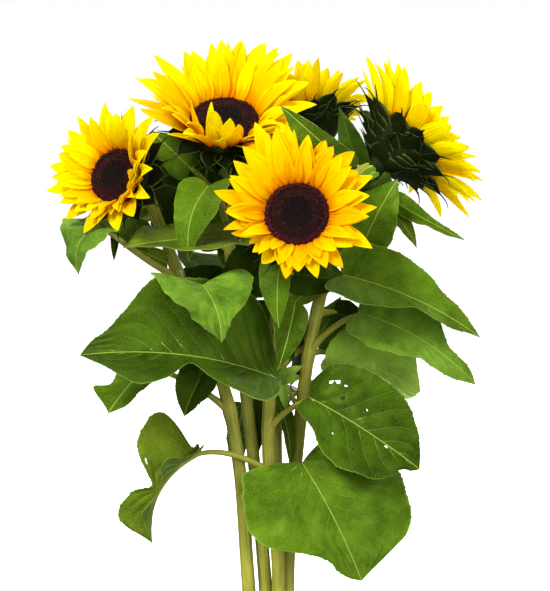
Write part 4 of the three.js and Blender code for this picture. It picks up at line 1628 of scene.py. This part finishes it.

# Leaves of the darkest tone, most of them the small inner ones, are painted shade: near-black sheets put
# where there is shade deep among the stems.
LEAVES = (
    Leaf("outer_left", "left", 0.775, (-151, 34, 86), (-150, -55, 49, 64), roll=10, arch=0.35, fold=5,
         lobe=0.1, slim=1.05, bow=-0.1, tone=Tone.BRIGHT,
         bulges=((1, 0.2, 0.5, 0.15), (1, 0.65, -0.2, 0.12))),
    Leaf("under_top_head", "top", 0.81, (-101, 30, 100), (-125, -66, 70, 54), arch=0.18, fold=12,
         fullness=0.32, taper=1.0, bulges=((1, 0.55, -0.3, 0.3), (-1, 0.42, 0.35, 0.18))),
    Leaf("between_heads", "top", 0.85, (-140, 45, 61), (177, 43, 48, 34), roll=80),
    Leaf("level_left", "top", 0.76, (-67, 23, 64), (-170, -3, 119, 60), roll=22, fold=18, arch=0.04,
         tone=Tone.OLIVE,
         bulges=((-1, 0.5, 1.0, 0.35), (1, 0.35, -0.4, 0.2), (1, 0.88, 1.3, 0.13),
                 (-1, 0.72, 1.0, 0.2))),
    Leaf("front_heart", "left", 0.79, (-74, -2, 93), (-55, -59, 56, 106), arch=0.14, lobe=0.3,
         fullness=0.3, taper=1.2, tone=Tone.BRIGHT, bow=-0.2,
         bulges=((-1, 0.35, -0.2, 0.2), (-1, 0.75, -0.55, 0.25), (1, 0.1, 0.1, 0.07),
                 (1, 0.28, -0.1, 0.1))),
    Leaf("great_left", "front", 0.56, (-79, 29, 43), (-169, 8, 176, 138), roll=46, fold=30,
         fullness=0.7, taper=0.85, tone=Tone.DEEP,
         bulges=((1, 0.87, -0.36, 0.09), (1, 0.77, -0.06, 0.04), (1, 0.66, 0.08, 0.05),
                 (1, 0.08, -0.35, 0.1), (-1, 0.72, 0.22, 0.07), (-1, 0.46, -0.66, 0.13),
                 (-1, 0.25, 0.1, 0.1), (-1, 0.05, -0.5, 0.07))),
    Leaf("under_front_head", "front", 0.83, (-102, 24, 47), (-113, -84, 66, 35),
         bulges=((-1, 0.4, -0.28, 0.3),)),
    Leaf("small_left", "left", 0.5, (-171, 30, 87), (-163, -50, 55, 42), roll=60,
         bulges=((1, 0.84, 2.2, 0.13), (1, 0.5, -0.25, 0.2), (-1, 0.4, -0.35, 0.3))),
    Leaf("folded_left", "left", 0.5, (-132, 61, 55), (-170, -65, 54, 48), roll=60, fold=30,
         tone=Tone.DEEP, bulges=((1, 0.3, -0.15, 0.3),)),
    Leaf("twisted_left", "front", 0.4, (-160, 20, 70), (-167, -62, 93, 113), roll=20, lobe=0.32,
         arch=0.21, bow=0.2, fold=48, nip=0.85, tone=Tone.OLIVE, holes=((0.38, 0.7, 2.2),),
         bulges=((1, 0.86, 0.6, 0.1), (1, 0.65, -0.2, 0.08), (1, 0.05, -0.85, 0.075),
                 (1, 0.3, -0.15, 0.1), (-1, 0.14, -0.85, 0.18), (-1, 0.45, -0.5, 0.12),
                 (-1, 0.8, -0.45, 0.16))),
    Leaf("great_right", "front", 0.33, (-55, 46, 65), (-33, -58, 117, 146), roll=-42, fold=4, curl=0.12,
         lobe=0.34, taper=0.62,
         bulges=((1, 0.8, -0.62, 0.22), (1, 0.06, 0.2, 0.05), (-1, 0.82, 0.2, 0.16))),
    Leaf("broad_right", "front", 0.49, (-29, 37, 53), (-15, -31, 117, 94), roll=-62, fold=18, lobe=0.24,
         taper=0.6, tone=Tone.DEEP,
         bulges=((1, 0.15, -0.42, 0.22), (-1, 0.05, -0.25, 0.08), (-1, 0.85, -0.18, 0.14),
                 (1, 0.9, -0.5, 0.07)),
         holes=((0.15, -0.82, 3.2), (0.14, -0.63, 3.0), (0.18, -0.63, 3.4), (0.24, -0.57, 2.8),
                (0.24, -0.32, 4.2), (0.35, -0.42, 2.8), (0.43, -0.32, 3.6), (0.34, 0.52, 2.0),
                (0.52, 0.5, 2.0), (0.7, 0.05, 2.8))),
    # a pale tone, partly painted light that lifts this leaf in the shade of the leaves above it
    Leaf("rear_right", "right", 0.585, (55, -5, 37), (12, -24, 93, 96), roll=-60, taper=0.8, lobe=0.1,
         tone=Tone.PALE, bulges=((1, 0.15, -0.65, 0.2), (1, 0.55, -0.65, 0.3))),
    Leaf("rear_right_upright", "right", 0.52, (5, 21, 29), (6, 68, 52, 66), roll=-90, lobe=0.0,
         tone=Tone.PALE, bulges=((-1, 0.3, -0.5, 0.5), (1, 0.05, -0.6, 0.2))),
    Leaf("pointed_right_lower", "right", 0.59, (-35, 37, 66), (-9, -31, 123, 84), roll=-50, arch=0.14,
         lobe=0.16, fullness=0.6, tone=Tone.BRIGHT,
         bulges=((-1, 0.75, -0.65, 0.18), (-1, 0.57, -0.15, 0.1), (1, 0.55, -0.4, 0.3))),
    Leaf("pointed_right_upper", "right", 0.68, (-72, 27, 73), (-7, -24, 133, 72), roll=-46, arch=0.09,
         fold=16, taper=1.2,
         bulges=((1, 0.55, -0.52, 0.22), (-1, 0.68, -0.2, 0.15), (-1, 0.42, -0.08, 0.1))),
    Leaf("upright_right", "right", 0.74, (-42, 31, 49), (-21, 62, 71, 60), roll=-90,
         bulges=((1, 0.05, -0.75, 0.14), (1, 0.4, -0.2, 0.3))),
    Leaf("narrow_right", "right", 0.85, (10, 19, 55), (-11, -28, 73, 34), roll=-50, arch=-0.02, fold=30,
         bulges=((-1, 0.6, -0.7, 0.5), (1, 0.6, -0.2, 0.4))),
    Leaf("curled_right", "right", 0.82, (11, 24, 56), (-9, -54, 42, 18), roll=-50, fold=20,
         tone=Tone.OLIVE),
    Leaf("spear", "right", 0.9, (-86, 33, 54), (-149, 38, 90, 33), roll=105, fold=10, arch=0.06,
         bulges=((1, 0.5, -0.4, 0.5), (-1, 0.5, 0.4, 0.5))),
    Leaf("small_upper_right", "right", 0.9, (-30, 38, 40), (-162, -31, 24, 11), roll=60),
    Leaf("upright_middle", "right", 0.86, (80, 38, 49), (70, 78, 46, 34), roll=-40),
    # a bright tone as painted light: it lifts this leaf, which lies in the shade of the leaf above
    Leaf("inner_right", "back", 0.55, (14, 36, 42), (13, 59, 48, 30), roll=-90, tone=Tone.BRIGHT,
         bulges=((1, 0.72, 1.1, 0.22),)),
    Leaf("centre_front", "front", 0.67, (-64, 42, 62), (-165, -75, 61, 28), roll=85, fold=15,
         tone=Tone.DEEP, bulges=((-1, 0.05, -0.4, 0.12), (1, 0.4, 0.2, 0.3))),
    Leaf("centre_rear", "back", 0.62, (31, 46, 20), (144, -84, 66, 42), roll=180, tone=Tone.DARK,
         bulges=((1, 0.1, -0.3, 0.15), (-1, 0.1, -0.3, 0.15))),
    Leaf("centre_drooping", "back", 0.48, (-87, 33, 20), (-7, -80, 66, 18), roll=-45, fold=20),
    Leaf("left_drooping", "back", 0.51, (162, -22, 35), (123, -83, 63, 46),
         bulges=((-1, 0.4, -0.5, 0.5),)),
    Leaf("upright_rear", "top", 0.7, (52, 53, 34), (175, 84, 61, 54), roll=90),
    Leaf("small_under_top_head", "top", 0.85, (-68, 34, 68), (-168, -14, 21, 14), roll=60),
    Leaf("side_shoot", "right", 0.47, (-160, 60, 38), (-10, 35, 24, 13), roll=-60, slim=0.8,
         twins=((-30, -80, 30, 10), (20, 5, 20, 11), (190, 15, 13, 12)), tone=Tone.PALE),
    Leaf("inner_neck", "right", 0.93, (70, 30, 14), (-10, -50, 54, 46), roll=-60, tone=Tone.DARK),
    Leaf("inner_cup", "right", 0.97, (180, 20, 8), (180, 72, 56, 24), roll=90, slim=0.6,
         tone=Tone.DARK),
    Leaf("inner_stub", "left", 0.8, (180, 20, 8), (178, 24, 34, 18), roll=80, slim=0.6,
         tone=Tone.OLIVE),
    Leaf("inner_right_low", "right", 0.66, (30, 5, 20), (0, -25, 34, 28), roll=-60, tone=Tone.DARK),
    Leaf("inner_hanging", "right", 0.71, (-170, 10, 10), (-175, -40, 26, 20), roll=85, tone=Tone.OLIVE),
    Leaf("inner_low_left", "left", 0.9, (-170, -5, 10), (-172, -4, 56, 40), roll=60,
         bulges=((-1, 0.4, 0.5, 0.25),)),
    Leaf("inner_dark", "top", 0.68, (180, 20, 12), (180, 10, 70, 60), roll=90, tone=Tone.DARK),
    Leaf("inner_front", "right", 0.84, (-130, 20, 22), (-165, -58, 64, 56), roll=20, fold=20,
         tone=Tone.DARK),
    Leaf("inner_middle", "front", 0.84, (180, 5, 26), (-170, -32, 50, 52), roll=85, tone=Tone.DARK),
    Leaf("inner_under", "front", 0.82, (-90, 10, 6), (-4, -8, 56, 38), roll=-80, tone=Tone.DARK),
    Leaf("inner_low", "back", 0.62, (-150, 20, 10), (175, 25, 46, 48), roll=90, tone=Tone.DARK),
    Leaf("inner_low_middle", "back", 0.5, (-170, 10, 14), (-150, -84, 62, 16), roll=60, tone=Tone.DARK),
    Leaf("inner_upper", "top", 0.78, (180, 20, 8), (100, 84, 46, 50), roll=10, tone=Tone.DARK),
    Leaf("inner_fold", "left", 0.52, (-135, 62, 50), (-150, -78, 46, 11), roll=60, fold=30, slim=0.7,
         tone=Tone.OLIVE),
    Leaf("inner_dangling", "left", 0.93, (-158, -34, 40), (-120, -84, 29, 8), roll=30, slim=0.45,
         tone=Tone.DARK),
    Leaf("inner_left", "top", 0.78, (160, 45, 48), (178, 62, 84, 66), roll=90, tone=Tone.DARK,
         bulges=((1, 0.1, 0.4, 0.2), (-1, 0.1, 0.4, 0.2))),
    Leaf("inner_top", "top", 0.86, (60, 30, 18), (170, 58, 74, 72), roll=90, tone=Tone.DARK),
    Leaf("back_high_left", "left", 0.62, (123, 34, 32), (111, -25, 114, 80)),
    Leaf("back_high", "top", 0.72, (100, 30, 40), (95, -25, 130, 92)),
    Leaf("back_high_right", "back", 0.74, (45, 30, 40), (40, -30, 120, 86)),
    Leaf("back_low_left", "top", 0.55, (95, 35, 40), (95, -30, 115, 86)),
    Leaf("back_low_right", "back", 0.45, (60, 35, 45), (55, -35, 125, 90)),
)

LEAF_SKINS = {
    Tone.DEEP: LeafSkin("leaf_deep", lit="3e5e06", deep="182c02"),
    Tone.MIDDLE: LeafSkin("leaf_middle"),
    Tone.BRIGHT: LeafSkin("leaf_bright", lit="749c2a", deep="365e10"),
    # painted shade: a near-black green for the leaves that stand in the shade deep among the stems
    Tone.DARK: LeafSkin("leaf_dark", lit="2a4408", deep="121e04", vein="46601c"),
    Tone.OLIVE: LeafSkin("leaf_olive", lit="6c821a", deep="364c08"),
    # partly painted light: a paler green of its own that also lifts the rear right leaf, which lies in shade
    Tone.PALE: LeafSkin("leaf_pale", lit="a4c848", deep="6e9a2c", vein="a8b868"),
}
UNDERSIDE = LeafSkin("leaf_underside", lit="6e8c30", deep="466622", vein="9eb254", roughness=0.55)
PETAL_SKINS = (
    PetalSkin("petal_clear"),
    PetalSkin("petal_warm", tip="ffe800", body="ffd800", root="faa400"),
    # a paler yellow of its own, and on the right and back heads painted light for petals in shade
    PetalSkin("petal_pale", tip="fff800", body="fff000", root="ffc400"),
    PetalSkin("petal_golden", tip="ffdc00", body="ffc800", root="f79a00"),
)
BRACTS = BractSkin("bract_downy")
CUP = BractSkin("receptacle_downy", middle="10180a", edge="1a2610")
DISC = FloretSkin("disc_bed", dark="0c0404", light="1c0a08")
RIND = Rind("stem_rind")
BARK = Rind("crown_rind", light="9a8a58", dark="5c4a2c")
HAIR = Hair("stem_hair")
UNDERSIDE_VEIN = Rind("vein_rind", light="a8b868", dark="80984a")


class Zone(Enum):
    """The disc's three rings of florets, from the closed buds in the middle to the open ones outside."""

    BUDS = "buds"
    HALF_OPEN = "half_open"
    OPEN = "open"


@dataclass(frozen=True)
class FloretKind:
    """The florets of one zone: their shape, finish and share of the disc.

    Attributes:
        zone: which zone they fill.
        until: the share of all florets at which the zone ends, from the middle.
        height, girth: a floret's height and its thickness, in millimetres.
        lobes: how far its five lobes open, as a share of its girth.
        finish: what it is made of.
    """

    zone: Zone
    until: float
    height: float
    girth: float
    lobes: float
    finish: FloretSkin

    def mesh(self) -> bpy.types.Mesh:
        """One floret: a five-sided tube that swells and then closes, or opens into lobes."""
        tall, thick = self.height, self.girth / 2
        lip = (0.9 + self.lobes) * (1 + 0.3 * self.lobes)
        profile = [(0.5, -0.6), (0.62, 0.35), (1.0, 0.75), (lip, 1.0), (0.25, 0.9 - 0.2 * self.lobes)]
        around = 2 * math.pi * np.arange(5) / 5
        rings = [circle(thick * out, tall * up, around + math.pi / 5 * (ring % 2))
                 for ring, (out, up) in enumerate(profile)]
        return lofted(f"floret_{self.zone.value}", np.array(rings))


FLORET_KINDS = (
    FloretKind(Zone.BUDS, 0.25, 2.4, 1.7, -0.5, FloretSkin("floret_bud", dark="0a0404", light="220c08")),
    FloretKind(Zone.HALF_OPEN, 0.7, 3.2, 1.6, -0.1, FloretSkin("floret_half", dark="1a0604", light="4a140c")),
    FloretKind(Zone.OPEN, 1.0, 4.0, 1.6, 0.5, FloretSkin("floret_open", dark="26070a", light="5a1216")),
)


def dressed(name: str, meshes: list[bpy.types.Mesh], slot: Slot, *nodes: str) -> bpy.types.Object:
    """Joins a piece's meshes, fixes it to the plant and says which solids it stands for.

    Args:
        name: the piece's name.
        meshes: what it is made of.
        slot: the slot for the piece's finish; not used.
        nodes: the solids that it replaces.

    Returns:
        The piece.
    """
    piece = joined(name, meshes)
    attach(piece, "root")
    if nodes:
        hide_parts(*nodes)
    log.info("%s: %d faces, stands for %s", name, len(piece.data.polygons), ", ".join(nodes) or "nothing")
    return piece


@dataclass
class Plant:
    """The whole plant: it builds its stems, leaves and heads in turn.

    Attributes:
        solids: the names of the frame's solids. The small inner leaves between the stems have none.
        stems, leaves: what it consists of.
        hair_density: how many hairs grow on a square metre of stem.
        stalk_hairs: how densely they stand on a stalk, beside a stem.
    """

    solids: frozenset[str]
    stems: tuple[Stem, ...] = STEMS
    leaves: tuple[Leaf, ...] = LEAVES
    hair_density: float = 42000.0
    stalk_hairs: float = 0.5

    def __post_init__(self) -> None:
        """Builds the three Geometry Nodes trees that the pieces share."""
        self.limbs, self.hairs, self.florets = Limbs(), Hairs(), Florets()

    def build(self) -> None:
        """Builds every piece."""
        dressed("woody_crown", [RootCrown().mesh(BARK)], Slot.CROWN, "root_crown")
        for stem in self.stems:
            self.build_stem(stem)
            self.build_head(stem.head)
        for number, leaf in enumerate(self.leaves):
            self.build_leaf(leaf, number)

    def build_stem(self, stem: Stem) -> None:
        """Builds a stem with its furrows and hairs.

        Args:
            stem: the stem.
        """
        nodes = [leaf.up for leaf in self.leaves if leaf.stem == stem.name]
        limb = self.limbs.along([stem.strand(nodes)], RIND, stem.sides, stem.furrows, stem.furrow_depth)
        hairs = self.hair_mesh(limb, 1.0, (1.7, 0.09), int(stem.neck))
        dressed(f"limb_{stem.name}", [limb, hairs], Slot.STEM, f"stem_{stem.name}")

    def hair_mesh(self, limb: bpy.types.Mesh, share: float, size: tuple[float, float],
                  seed: int) -> bpy.types.Mesh:
        """Grows the hairs of a limb.

        Args:
            limb: the limb.
            share: how densely they stand, beside a stem's.
            size: a hair's length and thickness at its root, in millimetres.
            seed: what they are scattered by.

        Returns:
            The hairs' mesh.
        """
        length, thickness = size
        return self.hairs.on(limb.copy(), density=self.hair_density * share, length=length * METRES,
                             thickness=thickness * METRES, lean=0.5, seed=seed, finish=HAIR.material())

    def build_head(self, head: Head) -> None:
        """Builds a head's petals, bracts and disc.

        Args:
            head: the head.
        """
        dressed(f"petals_{head.name}", [head.petal_mesh(list(PETAL_SKINS))], Slot.PETALS, f"rays_{head.name}")
        dressed(f"bracts_{head.name}", [head.cup_mesh(CUP), head.bract_mesh(BRACTS)], Slot.BRACTS,
                f"cup_{head.name}")
        parts, first = [head.disc_mesh(DISC)], 0
        for kind in FLORET_KINDS:
            last = round(kind.until * head.florets)
            parts.append(self.floret_mesh(head, kind, first, last - first))
            first = last
        dressed(f"florets_{head.name}", parts, Slot.DISC, f"disc_{head.name}")

    def floret_mesh(self, head: Head, kind: FloretKind, first: int, count: int) -> bpy.types.Mesh:
        """Grows one zone of a head's florets and puts it in its place.

        Args:
            head: the head.
            kind: the florets.
            first: the number of the zone's first floret, counted from the middle.
            count: how many there are.

        Returns:
            The zone's mesh.
        """
        floret = bpy.data.objects.new("floret", kind.mesh())
        bpy.context.scene.collection.objects.link(floret)
        zone = self.florets.on(
            bpy.data.meshes.new("none"), first=first, count=count, whole_count=head.florets,
            disc_radius=(head.disc - 0.8) * METRES, dome_height=head.disc * head.dome * METRES,
            dimple=head.disc * head.dimple * METRES, roundness=head.roundness, splay=0.75, floret=floret,
            finish=kind.finish.material())
        bpy.data.objects.remove(floret)
        corners = np.empty(len(zone.vertices) * 3, np.float32)
        zone.vertices.foreach_get("co", corners)
        placed = corners.reshape(-1, 3) @ head.turn + np.array(head.at) * METRES
        zone.vertices.foreach_set("co", placed.astype(np.float32).ravel())
        zone.update()
        return zone

    def build_leaf(self, leaf: Leaf, number: int) -> None:
        """Builds a leaf: its stalk and midrib, its side veins and its blades.

        Args:
            leaf: the leaf.
            number: its number among all the leaves.
        """
        stem = next(s for s in self.stems if s.name == leaf.stem)
        root = stem.path.at(leaf.up)
        radius = float(stem.radius(np.array([leaf.up]))[0])
        kind = Stalk()
        stalk = self.limbs.along([kind.strand(leaf, root, radius)], RIND, kind.sides, kind.furrows,
                                 kind.furrow_depth)
        hairs = self.hair_mesh(stalk, self.stalk_hairs, (1.1, 0.08), number)
        piece, veins = Piece(), []
        for blade in leaf.blades(root):
            sheet, maps = blade.sheet()
            piece.lay(sheet, maps, (0, 1))
            veins += blade.veins()
        parts = [stalk, hairs, piece.mesh(f"blade_{leaf.name}", [LEAF_SKINS[leaf.tone], UNDERSIDE])]
        if veins:
            parts.append(self.limbs.along(veins, UNDERSIDE_VEIN, sides=6))
        solid = f"leaf_{leaf.name}"
        dressed(f"foliage_{leaf.name}", parts, Slot.LEAF, *([solid] if solid in self.solids else []))


# ---- The studio -------------------------------------------------------------------------------------


@dataclass
class Studio:
    """A white studio: a wide white floor, a white background and soft lights."""

    floor: float = 14.0  # in metres, as everything below
    eye: Triple = (0.0, -2.188, 0.582)
    aim: Triple = (0.0, 0.0, 0.352)
    lens: float = 148.9
    world: float = 0.3

    def build(self) -> None:
        """Lays the floor, lights it and sets up the camera."""
        self.lay_floor()
        self.light("key", (-0.9, -1.6, 1.8), 62.0, 0.7)
        self.light("fill", (0.9, -2.1, 0.7), 28.0, 1.2)
        self.light("rim", (1.0, 1.5, 1.3), 42.0, 0.9)
        self.light("top", (0.3, 0.6, 2.1), 26.0, 1.0)
        self.light_world()
        self.set_camera()

    def lay_floor(self) -> None:
        """Lays the floor under the plant."""
        half = self.floor / 2
        mesh = bpy.data.meshes.new("studio_floor")
        mesh.from_pydata([(-half, -half, 0), (half, -half, 0), (half, half, 0), (-half, half, 0)], [],
                         [(0, 1, 2, 3)])
        mesh.materials.append(StudioFloor("studio_paint").material())
        floor = bpy.data.objects.new("studio_floor", mesh)
        bpy.context.scene.collection.objects.link(floor)
        floor.visible_diffuse = floor.visible_glossy = False

    def light(self, name: str, place: Triple, power: float, size: float) -> None:
        """Hangs a square soft light that faces the plant.

        Args:
            name: the light's name.
            place: where it hangs.
            power: in watts.
            size: its side.
        """
        lamp = bpy.data.lights.new(name, "AREA")
        lamp.energy, lamp.size = power, size
        hung = bpy.data.objects.new(name, lamp)
        hung.location = place
        hung.rotation_euler = (Vector(self.aim) - Vector(place)).to_track_quat("-Z", "Y").to_euler()
        bpy.context.scene.collection.objects.link(hung)

    def light_world(self) -> None:
        """Fills the background with white."""
        world = bpy.data.worlds.new("studio_white")
        world.use_nodes = True
        world.node_tree.nodes.clear()
        tree = world.node_tree
        seen = add(tree, "Background", {"Color": linear("ffffff"), "Strength": 1.0})
        cast = add(tree, "Background", {"Color": linear("ffffff"), "Strength": self.world})
        eye = add(tree, "LightPath").outputs["Is Camera Ray"]
        mixed = add(tree, "MixShader", {0: eye, 1: cast, 2: seen})
        add(tree, "OutputWorld", {"Surface": mixed})
        bpy.context.scene.world = world
        bpy.context.scene.view_settings.view_transform = "Standard"

    def set_camera(self) -> None:
        """Sets up the camera."""
        lens = bpy.data.cameras.new("camera")
        lens.lens, lens.sensor_width, lens.clip_start, lens.clip_end = self.lens, 36.0, 0.05, 50.0
        camera = bpy.data.objects.new("camera", lens)
        camera.location = self.eye
        camera.rotation_euler = (Vector(self.aim) - Vector(self.eye)).to_track_quat("-Z", "Y").to_euler()
        bpy.context.scene.collection.objects.link(camera)
        bpy.context.scene.camera = camera


def main() -> None:
    """Loads the frame and builds the plant on it in its studio."""
    logging.basicConfig(level=logging.INFO, format="%(message)s")
    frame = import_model()
    Studio().build()
    Plant(frozenset(frame["nodes"])).build()


if __name__ == "__main__":
    main()
